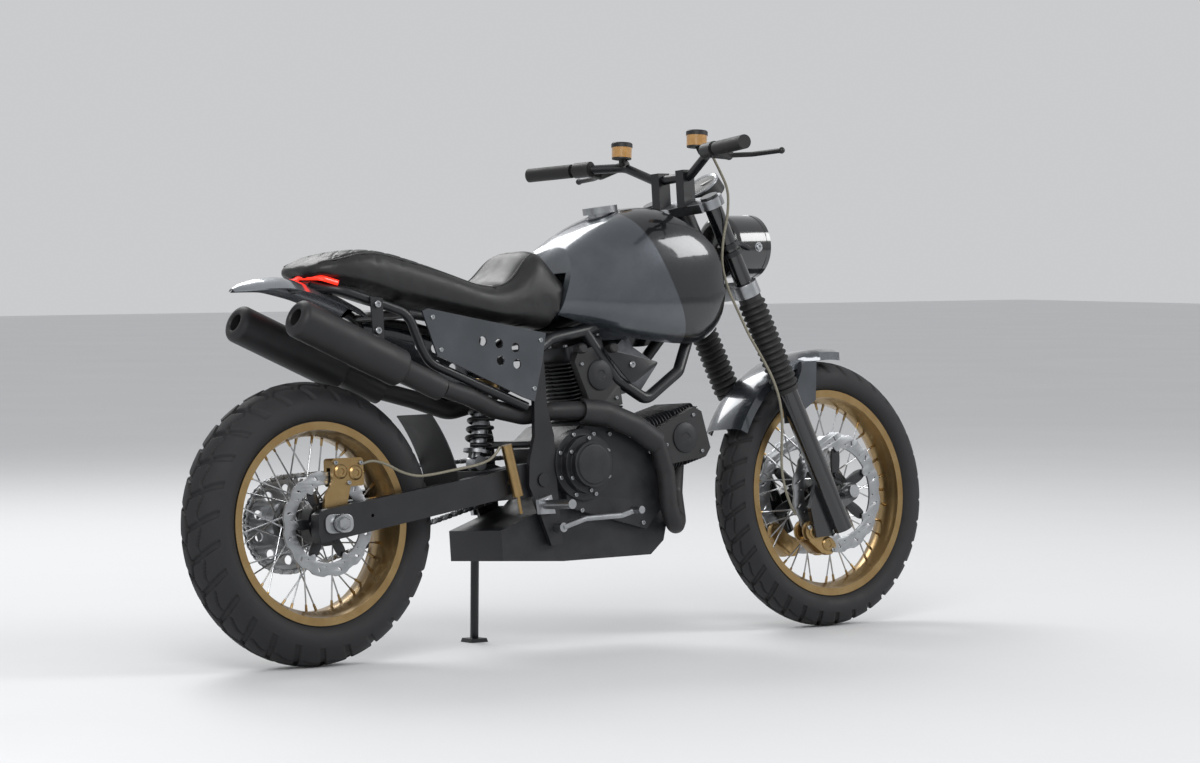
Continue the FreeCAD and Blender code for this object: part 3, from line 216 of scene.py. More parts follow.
# helpers for surfaces worked out as arrays
def gridMesh(name, points, aroundFirst=True, aroundSecond=True):
    # points is (n, m, 3); each square of four neighbours is a face, wrapping round where asked
    n, m = points.shape[:2]
    rows = np.arange(n if aroundFirst else n - 1)
    cols = np.arange(m if aroundSecond else m - 1)
    i, j = np.meshgrid(rows, cols, indexing="ij")
    k, l = (i + 1) % n, (j + 1) % m
    faces = np.stack([i * m + j, k * m + j, k * m + l, i * m + l], axis=-1).reshape(-1, 4)
    mesh = bpy.data.meshes.new(name)
    mesh.from_pydata(points.reshape(-1, 3).tolist(), [], faces.tolist())
    return mesh


def tidyMesh(mesh, angle=35.0, weld=0.00001):
    # merges doubles at poles, points the faces outwards and shades smooth but for sharp edges
    work = bmesh.new()
    work.from_mesh(mesh)
    bmesh.ops.remove_doubles(work, verts=work.verts, dist=weld)
    bmesh.ops.dissolve_degenerate(work, edges=work.edges, dist=weld)
    bmesh.ops.recalc_face_normals(work, faces=work.faces)
    return shadeSmooth(work, mesh, angle)


def joinMeshes(name, meshes):
    # one mesh from several; each is thrown away afterwards
    work = bmesh.new()
    for mesh in meshes:
        work.from_mesh(mesh)
        bpy.data.meshes.remove(mesh)
    whole = bpy.data.meshes.new(name)
    work.to_mesh(whole)
    work.free()
    return whole


def addJoined(name, meshes, node, slot, body, look=None):
    return addPiece(name, joinMeshes(name, meshes), node, slot, body, look)


def frameOf(axis, hint=(0.0, 0.0, 1.0)):
    # two unit vectors square to axis, the first near the hint
    axis = np.asarray(axis, float) / np.linalg.norm(axis)
    first = np.asarray(hint, float) - np.dot(hint, axis) * axis
    if np.linalg.norm(first) < 1e-6:
        first = np.array([1.0, 0.0, 0.0]) - axis[0] * axis
    first /= np.linalg.norm(first)
    return axis, first, np.cross(axis, first)


def turnedMesh(name, profile, at, axis, steps=64, hint=(0.0, 0.0, 1.0)):
    # a closed outline of (along, radius) carried round the axis through at
    profile = np.array(profile)
    axis, first, second = frameOf(axis, hint)
    angle = np.linspace(0, 2 * np.pi, steps, endpoint=False)
    ring = np.outer(np.cos(angle), first) + np.outer(np.sin(angle), second)
    points = at + profile[:, None, :1] * axis + profile[:, None, 1:] * ring[None]
    closed = profile[0, 1] > 1e-7 or profile[-1, 1] > 1e-7
    return tidyMesh(gridMesh(name, points, closed, True))


def tubeMesh(name, path, radius, steps=12, closed=False):
    # a round section carried along a smooth line through the path's points, its ends drawn in to a point
    path = np.asarray(path, float)
    for _ in range(3):
        cut = np.empty((2 * len(path), 3))
        cut[0::2] = path
        cut[1::2] = (path + np.roll(path, -1, axis=0)) / 2
        path = cut if closed else cut[:-1]
        inner = (np.roll(path, 1, axis=0) + 2 * path + np.roll(path, -1, axis=0)) / 4
        if not closed:
            inner[0], inner[-1] = path[0], path[-1]
        path = inner
    along = np.roll(path, -1, axis=0) - np.roll(path, 1, axis=0)
    if not closed:
        along[0], along[-1] = path[1] - path[0], path[-1] - path[-2]
    along /= np.linalg.norm(along, axis=1)[:, None]
    first = np.empty_like(path)
    first[0] = frameOf(along[0])[1]
    for step in range(1, len(path)):
        first[step] = first[step - 1] - np.dot(first[step - 1], along[step]) * along[step]
        first[step] /= np.linalg.norm(first[step])
    second = np.cross(along, first)
    angle = np.linspace(0, 2 * np.pi, steps, endpoint=False)
    ring = np.cos(angle)[None, :, None] * first[:, None] + np.sin(angle)[None, :, None] * second[:, None]
    points = path[:, None] + radius * ring
    if not closed:
        points = np.concatenate([np.repeat(path[:1, None], steps, 1), points,
                                 np.repeat(path[-1:, None], steps, 1)])
    return tidyMesh(gridMesh(name, points, closed, True), 50)


def flatMesh(name, loops, thickness, place, chamfer=0.0006):
    # a flat plate with holes: each loop is an (n, 2) outline, the plate is that thick about its middle,
    # and place turns its local x, y, z arrays into points of the frame
    outline = bpy.data.curves.new(name, "CURVE")
    outline.dimensions = "2D"
    outline.fill_mode = "BOTH"
    outline.extrude = thickness / 2 - chamfer
    outline.bevel_depth = chamfer
    outline.bevel_resolution = 1
    outline.offset = -chamfer
    for loop in loops:
        spline = outline.splines.new("POLY")
        spline.points.add(len(loop) - 1)
        flat = np.c_[loop, np.zeros(len(loop)), np.ones(len(loop))]
        spline.points.foreach_set("co", flat.ravel())
        spline.use_cyclic_u = True
    carrier = bpy.data.objects.new(name, outline)
    mesh = bpy.data.meshes.new_from_object(carrier)
    bpy.data.objects.remove(carrier)
    bpy.data.curves.remove(outline)
    local = np.empty(3 * len(mesh.vertices))
    mesh.vertices.foreach_get("co", local)
    local = local.reshape(-1, 3)
    placed = place(local[:, 0], local[:, 1], local[:, 2])
    mesh.vertices.foreach_set("co", np.ascontiguousarray(placed).ravel())
    return tidyMesh(mesh, 30)


def circle(x, y, radius, steps=32):
    turn = np.linspace(0, 2 * np.pi, steps, endpoint=False)
    return np.c_[x + radius * np.cos(turn), y + radius * np.sin(turn)]


def rounded(corners, radius, steps=5):
    # a polygon with its corners rounded by quadratic curves that start and end a radius away
    corners = np.asarray(corners, float)
    before = np.roll(corners, 1, axis=0) - corners
    after = np.roll(corners, -1, axis=0) - corners
    toBefore = np.linalg.norm(before, axis=1)[:, None]
    toAfter = np.linalg.norm(after, axis=1)[:, None]
    reach = np.minimum(radius, 0.45 * np.minimum(toBefore, toAfter))
    start, end = corners + before / toBefore * reach, corners + after / toAfter * reach
    t = np.linspace(0, 1, steps)[None, :, None]
    curve = (1 - t) ** 2 * start[:, None] + 2 * t * (1 - t) * corners[:, None] + t ** 2 * end[:, None]
    return curve.reshape(-1, 2)


def polar(radius, at):
    return radius * math.cos(at), radius * math.sin(at)


def polarLoop(radius, turn):
    # an outline from a radius for each angle
    return np.c_[radius * np.cos(turn), radius * np.sin(turn)]


def shifted(place, away, side=1):
    # the same placing, moved away along its last axis, on the side asked for
    def put(x, y, z):
        return place(x, y, side * (z + away))
    return put


def onRearWheel(u, v, w):
    return chassisPoint(u, w, v)


def onFrontWheel(u, v, w):
    return forkPoint(axleLead + u, w, v)


def hexBolt(at, axis, radius, height):
    # a cap screw: domed rim with a socket
    profile = [(0, 0), (0, radius), (height * 0.8, radius), (height, radius * 0.85), (height, radius * 0.45),
               (height * 0.5, radius * 0.42), (height * 0.5, 0)]
    return turnedMesh("bolt", profile, np.asarray(at), axis, 12)


# tyres
tyreSizes = {
    "rear_tyre": {"outer": 0.3217, "half": 0.075, "bead": 0.2163, "inner": 0.0547, "lip": 0.2315, "blocks": 27},
    "front_tyre": {"outer": 0.3287, "half": 0.055, "bead": 0.2416, "inner": 0.0337, "lip": 0.2563, "blocks": 34},
    "grooveDepth": 0.0075,
    "perBlock": 26,
    "acrossSteps": 74,
}


def treadDepth(turn, width):
    # turn is the block number round the tyre and width runs -1 to 1 across the tread; slanted grooves on each
    # side, half a block apart, meet a zigzag line near the middle, and a narrow line splits each half
    def groove(distance, half):
        return np.clip((half - distance) / (0.35 * half) + 0.5, 0, 1)
    side = width > 0
    lane = np.abs(width)
    phase = np.mod(turn + 0.5 * side + 0.55 * lane ** 1.4, 1)
    slant = groove(np.abs(phase - 0.5), 0.085 + 0.03 * lane) * (lane > 0.08)
    wave = np.abs(np.mod(turn, 1) - 0.5) * 4 - 1
    middle = groove(np.abs(width - 0.08 * wave), 0.05)
    fold = groove(np.abs(lane - 0.5 - 0.06 * np.where(side, wave, -wave)), 0.04)
    return np.maximum(np.maximum(slant, middle), fold)


def makeTyre(node, place):
    # section: bead, bulging sidewall, shoulder and round crown; the crown carries the tread grooves
    size = tyreSizes[node]
    half, outer = size["half"], size["outer"]
    crown = half * 1.04
    edgeY = half * 0.93
    edgeR = outer - crown + math.sqrt(crown ** 2 - edgeY ** 2)
    y = np.linspace(-edgeY, edgeY, tyreSizes["acrossSteps"])
    r = outer - crown + np.sqrt(crown ** 2 - y ** 2)
    t = np.linspace(0, 1, 12)[1:]
    wallY = (1 - t) ** 2 * edgeY + 2 * t * (1 - t) * half * 1.08 + t ** 2 * size["inner"]
    wallR = (1 - t) ** 2 * edgeR + 2 * t * (1 - t) * (edgeR - 0.03) + t ** 2 * size["lip"]
    inside = [(size["inner"], size["bead"]), (0.0, size["bead"]), (-size["inner"], size["bead"])]
    farWall = list(zip(-wallY[::-1], wallR[::-1]))
    profile = np.array(list(zip(y, r)) + list(zip(wallY, wallR)) + inside + farWall)
    steps = size["blocks"] * tyreSizes["perBlock"]
    angle = np.linspace(0, 2 * np.pi, steps, endpoint=False)
    turn = angle / (2 * np.pi) * size["blocks"]
    depth = treadDepth(turn[None], (y / edgeY)[:, None])
    fade = np.clip((1 - np.abs(y / edgeY)) * 30, 0, 1)[:, None]
    radius = np.repeat(profile[:, 1:], steps, 1)
    radius[: len(y)] -= tyreSizes["grooveDepth"] * depth * fade
    rib = np.isin(np.arange(len(profile)), [len(y) + 1, len(profile) - 3])
    radius[rib] += 0.0006
    width = np.repeat(profile[:, :1], steps, 1)
    points = place(radius * np.cos(angle), radius * np.sin(angle), width)
    mesh = gridMesh(node + "Tread", points)
    return tidyMesh(mesh, 48)


# brake discs with a wavy edge and slots
discSizes = {
    "front": {"outer": 0.149, "inner": 0.112, "waves": 14, "wave": 0.0042, "slot": (0.009, 0.0021)},
    "rear": {"outer": 0.120, "inner": 0.088, "waves": 12, "wave": 0.0042, "slot": (0.006, 0.0022)},
    "thick": 0.005,
}


def slotLoop(radius, turn, length, width, tilt):
    # a round-ended slot whose middle sits on the radius, turned by tilt from the radial direction
    arc = np.linspace(-np.pi / 2, np.pi / 2, 7)
    ends = np.r_[np.c_[length + width * np.cos(arc), width * np.sin(arc)],
                 np.c_[-length - width * np.cos(arc), -width * np.sin(arc)]]
    c, s = math.cos(turn + tilt), math.sin(turn + tilt)
    middle = radius * np.array([math.cos(turn), math.sin(turn)])
    return middle + ends @ np.array([[c, s], [-s, c]])


def petalDisc(name, size, sideAt, place):
    # outer edge is a radius with scooped waves; the inner edge has a tab at each carrier arm
    turn = np.linspace(0, 2 * np.pi, 720, endpoint=False)
    scoop = np.clip(np.cos(size["waves"] * turn) * 2.2 - 0.9, -1, 1)
    outer = size["outer"] - size["wave"] * (scoop + 1) / 2
    tab = np.clip(np.cos(6 * turn) * 4 - 3.1, 0, 1)
    inner = size["inner"] - 0.012 * tab
    loops = [polarLoop(outer, turn), polarLoop(inner, turn)]
    middle = (size["outer"] + size["inner"]) / 2
    length, width = size["slot"]
    for index in range(size["waves"]):
        at = 2 * math.pi * (index + 0.5) / size["waves"]
        loops.append(slotLoop(middle + 0.002, at, length / 2, width, 0.55))
        loops.append(circle(*polar(middle - 0.008, at + 0.15), 0.0019, 10))
    return flatMesh(name, loops, discSizes["thick"], shifted(place, sideAt), 0.0004)


carrierSizes = {"waist": 0.05, "bore": 0.031, "thick": 0.006, "hubBolts": 0.042}


def carrierMesh(name, outer, boltCircle, sideAt, place, arms=6):
    # a star with rounded arms reaching the disc's tabs, round a central bore
    turn = np.linspace(0, 2 * np.pi, 480, endpoint=False)
    size = carrierSizes
    arm = np.clip(np.cos(arms * turn) * 1.8 - 0.55, 0, 1) ** 0.6
    loops = [polarLoop(size["waist"] + (outer - size["waist"]) * arm, turn), circle(0, 0, size["bore"], 40)]
    put = shifted(place, sideAt)
    meshes = [flatMesh(name, loops, size["thick"], put, 0.0005)]
    side = math.copysign(1, sideAt)
    for index in range(arms):
        at = 2 * math.pi * index / arms
        for reach, bolt in ((boltCircle, 0.0055), (size["hubBolts"], 0.006)):
            start = put(*polar(reach, at), side * size["thick"] / 2)
            outward = put(*polar(reach, at), side * 0.01) - start
            meshes.append(hexBolt(start, outward, bolt, 0.004))
    return joinMeshes(name, meshes)


def makeDiscs():
    meshes = []
    for side in (1, -1):
        meshes.append(petalDisc("disc", discSizes["front"], side * 0.0625, onFrontWheel))
    addJoined("frontPetalDiscs", meshes, "front_discs", "alloy", "front_wheel")
    meshes = [carrierMesh("carrier", 0.108, 0.105, side * 0.0565, onFrontWheel) for side in (1, -1)]
    meshes += [turnedMesh("seatRing", [(0.0395, 0.0243), (0.0595, 0.0243), (0.0595, 0.05), (0.0395, 0.052)],
                          onFrontWheel(0, 0, 0), side * forkAcross, 48) for side in (1, -1)]
    addJoined("frontDiscCarriers", meshes, None, "black_paint", "front_wheel")
    rearDisc = petalDisc("rearPetalDisc", discSizes["rear"], -0.0805, onRearWheel)
    addPiece("rearPetalDisc", rearDisc, "rear_disc", "alloy", "rear_wheel")
    meshes = [carrierMesh("carrier", 0.084, 0.081, -0.0745, onRearWheel)]
    meshes.append(turnedMesh("seatRing", [(0.0455, 0.0303), (0.078, 0.0303), (0.078, 0.05), (0.0455, 0.052)],
                             onRearWheel(0, 0, 0), -across, 48))
    addJoined("rearDiscCarrier", meshes, None, "black_paint", "rear_wheel")


sprocketSizes = {"teeth": 44, "radius": 0.1075, "tooth": 0.0045, "bore": 0.0304, "at": 0.088, "thick": 0.006,
                 "holes": 10, "holeRing": 0.081, "hole": 0.0105, "bolts": 5, "boltRing": 0.05, "bolt": 0.0065}


def makeSprocket():
    # toothed rim, round lightening holes and a ring of bolts
    size = sprocketSizes
    turn = np.linspace(0, 2 * np.pi, size["teeth"] * 12, endpoint=False)
    radius = size["radius"] + size["tooth"] * np.clip(np.cos(size["teeth"] * turn) * 1.6, -1, 1)
    loops = [polarLoop(radius, turn), circle(0, 0, size["bore"], 40)]
    for index in range(size["holes"]):
        at = 2 * math.pi * (index + 0.5) / size["holes"]
        loops.append(circle(*polar(size["holeRing"], at), size["hole"], 24))
    put = shifted(onRearWheel, size["at"])
    meshes = [flatMesh("sprocket", loops, size["thick"], put)]
    meshes.append(turnedMesh("boss", [(0.0455, 0.0303), (0.0845, 0.0303), (0.0845, 0.06), (0.05, 0.062)],
                             onRearWheel(0, 0, 0), across, 48))
    for index in range(size["bolts"]):
        start = put(*polar(size["boltRing"], 2 * math.pi * index / size["bolts"]), size["thick"] / 2)
        meshes.append(hexBolt(start, across, size["bolt"], 0.005))
    addJoined("toothedSprocket", meshes, "rear_sprocket", "alloy", "rear_wheel")


# fork gaiters
gaiterSizes = {"low": 0.309, "high": 0.566, "ribs": 15, "big": 0.034, "small": 0.027, "bore": 0.0222,
               "legY": 0.105}


def makeGaiters():
    # bellows: the radius is a wave along the leg, between a cuff at each end
    size = gaiterSizes
    t = np.linspace(0, 1, size["ribs"] * 8 + 1)
    along = size["low"] + 0.012 + t * (size["high"] - size["low"] - 0.026)
    swell = 0.5 - 0.5 * np.cos(2 * np.pi * size["ribs"] * t)
    radius = size["small"] + (size["big"] - size["small"]) * swell ** 0.75
    cuffs = [(size["low"], size["bore"]), (size["low"], 0.0295), (size["low"] + 0.011, 0.0295)]
    top = [(size["high"] - 0.013, 0.028), (size["high"], 0.028), (size["high"], size["bore"])]
    profile = cuffs + list(zip(along, radius)) + top
    meshes = []
    for side in (1, -1):
        meshes.append(turnedMesh("bellows", profile, forkPoint(0, side * size["legY"], 0), forkUp, 48))
    addJoined("ribbedGaiters", meshes, "fork_gaiters", "rubber", "steering")


# mufflers
mufflerSizes = {"tail": (-0.095, 0.465), "front": (0.185, 0.342), "linkEnd": (0.295, 0.295), "offset": 0.125,
                "radius": 0.044, "mouth": 0.023, "link": 0.029}


def makeMufflers():
    # a can with a rounded tail round an open mouth, a rounded front and the link pipe ahead of it
    size = mufflerSizes
    meshes = []
    for side in (1, -1):
        tail = chassisPoint(size["tail"][0], side * size["offset"], size["tail"][1])
        front = chassisPoint(size["front"][0], side * size["offset"], size["front"][1])
        along = (front - tail) / np.linalg.norm(front - tail)
        span = np.linalg.norm(front - tail)
        t = np.linspace(0, np.pi / 2, 9)
        r, m = size["radius"], size["mouth"]
        tailRound = [(0.016 - 0.016 * math.sin(a), m + 0.003 + (r - m - 0.003) * math.cos(a)) for a in t][::-1]
        frontRound = [(span - 0.01 + 0.01 * math.sin(a), r - 0.008 + 0.008 * math.cos(a)) for a in t]
        profile = [(0.07, 0.0), (0.07, m - 0.004), (0.004, m - 0.003), (0.0005, m)] + tailRound + frontRound
        profile += [(span + 0.001, size["link"] + 0.001), (span + 0.004, size["link"]), (span + 0.1, size["link"]),
                    (span + 0.119, size["link"] - 0.001), (span + 0.119, 0.0)]
        meshes.append(turnedMesh("muffler", profile, tail, along, 64))
    addJoined("mufflerCans", meshes, "mufflers", "black_paint", "chassis", "exhaustPaint")


# headlight bowl
lampSizes = {"radius": 0.078, "back": 1.215, "front": 1.338, "height": 0.622, "boltX": 1.296,
             "bolt": 0.0085, "washer": 0.012, "clampLevels": (0.682, 0.702), "legY": 0.105,
             "clamp": (0.0219, 0.0262), "arm": 0.006}


def makeHeadlight():
    # a bowl turned about its fore-and-aft line, a bolt and washer each side, and arms clamped to the fork
    size = lampSizes
    base = forkFromChassis(size["back"], 0, size["height"])
    front = forkFromChassis(size["front"], 0, size["height"])
    axis = (front - base) / np.linalg.norm(front - base)
    span = np.linalg.norm(front - base)
    r = size["radius"]
    t = np.linspace(0, np.pi / 2, 10)
    back = [(0.028 - 0.022 * math.sin(a), (r - 0.025) + 0.025 * math.cos(a)) for a in t[::-1]]
    profile = [(0.006, 0.0), (0.006, r - 0.03)] + back
    profile += [(span - 0.014, r), (span - 0.013, r + 0.0012), (span - 0.001, r + 0.0012), (span, r - 0.001),
                (span, r - 0.005), (span - 0.012, r - 0.0055), (span - 0.016, 0.0)]
    bowl = turnedMesh("headlightBowl", profile, base, axis, 96)
    addPiece("headlightBowl", bowl, "headlight", "black_paint", "steering", "glossBlack")
    bolts = []
    washer = [(0, 0.0), (0, size["washer"]), (0.002, size["washer"]), (0.002, 0.0)]
    for side in (1, -1):
        at = forkFromChassis(size["boltX"], side * (r - 0.001), size["height"] - 0.006)
        outward = side * forkAcross
        bolts.append(hexBolt(at, outward, size["bolt"], 0.006))
        bolts.append(turnedMesh("washer", washer, at, outward, 24))
    addJoined("headlightBolts", bolts, None, "alloy", "steering")
    arms = []
    inner, outer = size["clamp"]
    for side in (1, -1):
        for s in size["clampLevels"]:
            band = [(s - 0.006, inner), (s + 0.006, inner), (s + 0.006, outer), (s - 0.006, outer)]
            arms.append(turnedMesh("armClamp", band, forkPoint(0, side * size["legY"], 0), forkUp, 40))
        rod = [forkPoint(0.024, side * 0.1, 0.692), forkPoint(0.05, side * 0.088, 0.69),
               forkFromChassis(1.262, side * 0.081, 0.612)]
        arms.append(tubeMesh("arm", rod, size["arm"]))
    addJoined("headlightArms", arms, None, "black_paint", "steering")


print("wheels")
addPiece("rearTyreTread", makeTyre("rear_tyre", onRearWheel), "rear_tyre", "tyre", "rear_wheel")
addPiece("frontTyreTread", makeTyre("front_tyre", onFrontWheel), "front_tyre", "tyre", "front_wheel")
makeDiscs()
makeSprocket()
print("fork, mufflers and headlight")
makeGaiters()
makeMufflers()
makeHeadlight()


# hubs with laced spokes
hubSizes = {
    "front_hub": {"bead": 0.2413, "flangeY": 0.031, "flangeR": 0.044, "barrel": 0.024, "reach": 0.079},
    "rear_hub": {"bead": 0.216, "flangeY": 0.036, "flangeR": 0.05, "barrel": 0.03, "reach": 0.087},
    "spokes": 36,
    "radius": 0.0019,
    "sweep": math.radians(62),
}


def makeHub(node, place, body, axis):
    # flanged barrel, then each spoke from a flange hole to its nipple at the rim
    size = hubSizes[node]
    y, flange, barrel = size["flangeY"], size["flangeR"], size["barrel"]
    half = [(size["reach"], 0.0101), (size["reach"], barrel - 0.003), (y + 0.008, barrel), (y + 0.005, flange),
            (y - 0.003, flange), (y - 0.01, barrel * 0.9)]
    profile = [(-along, r) for along, r in half] + half[::-1]
    shell = turnedMesh("barrel", profile, place(0, 0, 0), axis, 64)
    addPiece(node.replace("_h", "H") + "Barrel", shell, node, "black_paint", body)
    wires, nipples = [], []
    rim = size["bead"] - 0.0183
    for index in range(hubSizes["spokes"]):
        side = 1 if index % 2 else -1
        lay = 1 if index % 4 < 2 else -1
        atRim = 2 * math.pi * (index + 0.5) / hubSizes["spokes"]
        atHub = atRim + lay * hubSizes["sweep"]
        reach = flange - 0.006
        start = place(*polar(reach, atHub), side * (y + 0.001))
        end = place(*polar(rim, atRim), side * 0.006)
        way = end - start
        span = np.linalg.norm(way)
        r = hubSizes["radius"]
        wires.append(turnedMesh("spoke", [(0, 0), (0, r), (span, r), (span, 0)], start, way, 8))
        nipple = [(span - 0.016, 0), (span - 0.016, 0.0028), (span - 0.002, 0.0034), (span, 0.0034), (span, 0)]
        nipples.append(turnedMesh("nipple", nipple, start, way, 8))
    stem = node.split("_")[0]
    addJoined(stem + "Spokes", wires, None, "steel", body)
    addJoined(stem + "Nipples", nipples, None, "gold", body)


# engine: finned barrels and heads, covers with screws
pivotX = 0.575
axleHeight = 0.322
engineSizes = {
    "crank": (pivotX + 0.255, 0.108),
    "angles": (105, 15),
    "finPitch": 0.0095,
    "fin": 0.0026,
    "barrel": (0.1, 0.198, 0.072, 0.0765, 0.056),
    "head": (0.205, 0.262, 0.069, 0.0775),
    "cover": (0.262, 0.058, 0.07),
    "tops": (0.3, 0.282),
}


def alongCylinder(angle):
    # axes of one cylinder: local x and y lie across it, local z runs up it from the crank
    turn = math.radians(angle)
    crankX, crankZ = engineSizes["crank"]

    def place(x, y, z):
        return chassisPoint(crankX - np.multiply(x, math.sin(turn)) + np.multiply(z, math.cos(turn)), y,
                            crankZ + np.multiply(x, math.cos(turn)) + np.multiply(z, math.sin(turn)))
    return place


def makeCylinders():
    size = engineSizes
    fins, caps, bolts = [], [], []
    for angle, top in zip(size["angles"], size["tops"]):
        place = alongCylinder(angle)
        up = place(0, 0, 1) - place(0, 0, 0)
        low, high, halfX, halfY, core = size["barrel"]
        barrel = [(low - 0.04, 0), (low - 0.04, core), (high + 0.07, core), (high + 0.07, 0)]
        fins.append(turnedMesh("core", barrel, place(0, 0, 0), up, 48))
        stacks = [(low, high, halfX, halfY, 0.03), size["head"] + (0.012,)]
        for start, end, x, y, corner in stacks:
            for level in np.arange(start, end, size["finPitch"]):
                loop = rounded([(-x, -y), (x, -y), (x, y), (-x, y)], corner)
                fins.append(flatMesh("fin", [loop], size["fin"], shifted(place, level), 0.0005))
        start, x, y = size["cover"]
        loop = rounded([(-x, -y), (x, -y), (x, y), (-x, y)], 0.016)
        caps.append(flatMesh("cover", [loop], top - start, shifted(place, (start + top) / 2), 0.005))
        for u in (-1, 1):
            for v in (-1, 0, 1):
                bolts.append(hexBolt(place(u * (x - 0.009), v * (y - 0.01), top), up, 0.0055, 0.005))
    addJoined("finnedCylinders", fins + caps, "cylinders", "engine", "chassis")
    addJoined("headScrews", bolts, None, "alloy", "chassis")


def onSide(x, z, y):
    # x from the pivot and z from the ground, in metres, on the drawn side of the machine
    return chassisPoint(pivotX + np.asarray(x), y, np.asarray(z) - axleHeight)


coverSizes = {
    "clutch": (0.118, 0.429),
    "rings": [(0.076, 0.1302, 8, 0.0052), (0.061, 0.1502, 6, 0.0048)],
    "caseScrews": [(0.085, 0.46), (0.135, 0.505), (0.2, 0.498), (0.262, 0.492), (0.32, 0.452), (0.352, 0.4),
                   (0.35, 0.34), (0.29, 0.285), (0.2, 0.303), (0.11, 0.322)],
    "beltScrews": [(105, 0.15, 0.03), (105, 0.15, -0.03), (105, 0.255, 0.045), (105, 0.255, -0.045),
                   (15, 0.24, 0.045), (15, 0.24, -0.045), (15, 0.14, 0.0)],
    "dome": [(-0.004, 0), (-0.004, 0.038), (0.003, 0.036), (0.006, 0.03), (0.006, 0.012), (0.0045, 0.01),
             (0.0045, 0)],
    "face": [(0.1665, 0), (0.1665, 0.048), (0.1705, 0.046), (0.1715, 0.04), (0.1715, 0)],
}


def makeScrews():
    bolts, bosses = [], []
    right = -across
    cx, cz = coverSizes["clutch"]
    for ring, y, count, size in coverSizes["rings"]:
        for index in range(count):
            x, z = polar(ring, 2 * math.pi * (index + 0.5) / count)
            bolts.append(hexBolt(onSide(cx + x, cz + z, -y), right, size, 0.004))
    for x, z in coverSizes["caseScrews"]:
        bolts.append(hexBolt(onSide(x, z, -0.122), right, 0.0055, 0.005))
    for angle, reach, aside in coverSizes["beltScrews"]:
        bolts.append(hexBolt(alongCylinder(angle)(aside, -0.098, reach), right, 0.0045, 0.004))
    for angle, reach in ((105, 0.215), (15, 0.2)):
        at = alongCylinder(angle)(0, -0.098, reach)
        bosses.append(turnedMesh("boss", coverSizes["dome"], at, right, 48))
    bosses.append(turnedMesh("clutchFace", coverSizes["face"], onSide(cx, cz, 0), right, 64))
    addJoined("coverScrews", bolts, None, "alloy", "chassis")
    addJoined("coverBosses", bosses, None, "engine", "chassis")


# calipers and the axle plate
caliperSizes = {
    "at": math.radians(207.6),
    "middle": 0.137,
    "halves": [(0.0784, 0.0166), (0.0475, 0.015)],
    "outline": [(-0.056, -0.014), (-0.034, -0.021), (0.0, -0.014), (0.034, -0.021), (0.056, -0.014),
                (0.056, 0.012), (0.038, 0.028), (-0.038, 0.028), (-0.056, 0.012)],
    "bridge": [(-0.034, 0.018), (0.034, 0.018), (0.028, 0.031), (-0.028, 0.031)],
    "caps": (-0.027, 0.027),
    "screws": (-0.048, 0.048),
    "face": 0.0866,
    "cap": [(-0.004, 0), (-0.004, 0.0185), (0.002, 0.018), (0.005, 0.0145), (0.005, 0.009), (0.003, 0.008),
            (0.003, 0)],
    "rearCap": [(-0.004, 0), (-0.004, 0.018), (0.002, 0.017), (0.005, 0.013), (0.005, 0.007), (0.003, 0.006),
                (0.003, 0)],
    "rearFace": -0.0972,
    "rearCaps": [(0.03, 0.116), (0.07, 0.112)],
    "rearScrews": [(0.016, 0.136), (0.084, 0.134), (0.05, 0.09)],
}


def makeCalipers():
    # two lobed halves joined over the disc's edge, drawn tangent to the disc behind each leg
    size = caliperSizes
    c, s = math.cos(size["at"]), math.sin(size["at"])
    halves, caps, bolts = [], [], []
    for side in (1, -1):
        def place(p, q, w, side=side):
            return onFrontWheel((size["middle"] + q) * c - p * s, (size["middle"] + q) * s + p * c, side * w)
        for middle, thick in size["halves"]:
            loop = rounded(size["outline"], 0.013)
            halves.append(flatMesh("half", [loop], thick, shifted(place, middle), 0.003))
        loop = rounded(size["bridge"], 0.006)
        halves.append(flatMesh("bridge", [loop], 0.046, shifted(place, 0.063), 0.002))
        for p in size["caps"]:
            caps.append(turnedMesh("cap", size["cap"], place(p, 0.001, size["face"]), side * forkAcross, 32))
        for p in size["screws"]:
            bolts.append(hexBolt(place(p, 0.004, size["face"]), side * forkAcross, 0.006, 0.006))
    addJoined("frontCaliperHalves", halves + caps, "front_calipers", "gold", "steering")
    addJoined("frontCaliperScrews", bolts, None, "steel", "steering")
    caps, bolts = [], []
    for u, v in size["rearCaps"]:
        caps.append(turnedMesh("cap", size["rearCap"], onRearWheel(u, v, size["rearFace"]), -across, 32))
    for u, v in size["rearScrews"]:
        bolts.append(hexBolt(onRearWheel(u, v, size["rearFace"]), -across, 0.0055, 0.005))
    addJoined("rearCaliperCaps", caps, None, "gold", "chassis")
    plates = []
    for side in (1, -1):
        put = shifted(onRearWheel, 0.1322, side)
        loop = rounded([(-0.04, -0.022), (0.035, -0.02), (0.035, 0.02), (-0.04, 0.022)], 0.02, 9)
        plates.append(flatMesh("axlePlate", [loop, circle(0, 0, 0.0202)], 0.0036, put))
        nut = [(0, 0), (0, 0.0155), (0.009, 0.0155), (0.012, 0.0125), (0.012, 0)]
        bolts.append(turnedMesh("nut", nut, onRearWheel(0, 0, side * 0.1435), side * across, 6))
    addJoined("axlePlates", plates + bolts, None, "alloy", "chassis")


# chain of plates and rollers
chainSizes = {"y": 0.088, "rear": (0.0, 0.0, 0.1089), "front": (0.653, 0.09, 0.0409), "pitch": 0.0155,
              "tall": 0.0055, "waist": 0.0038, "roller": 0.0042, "away": (0.0047, 0.0066)}


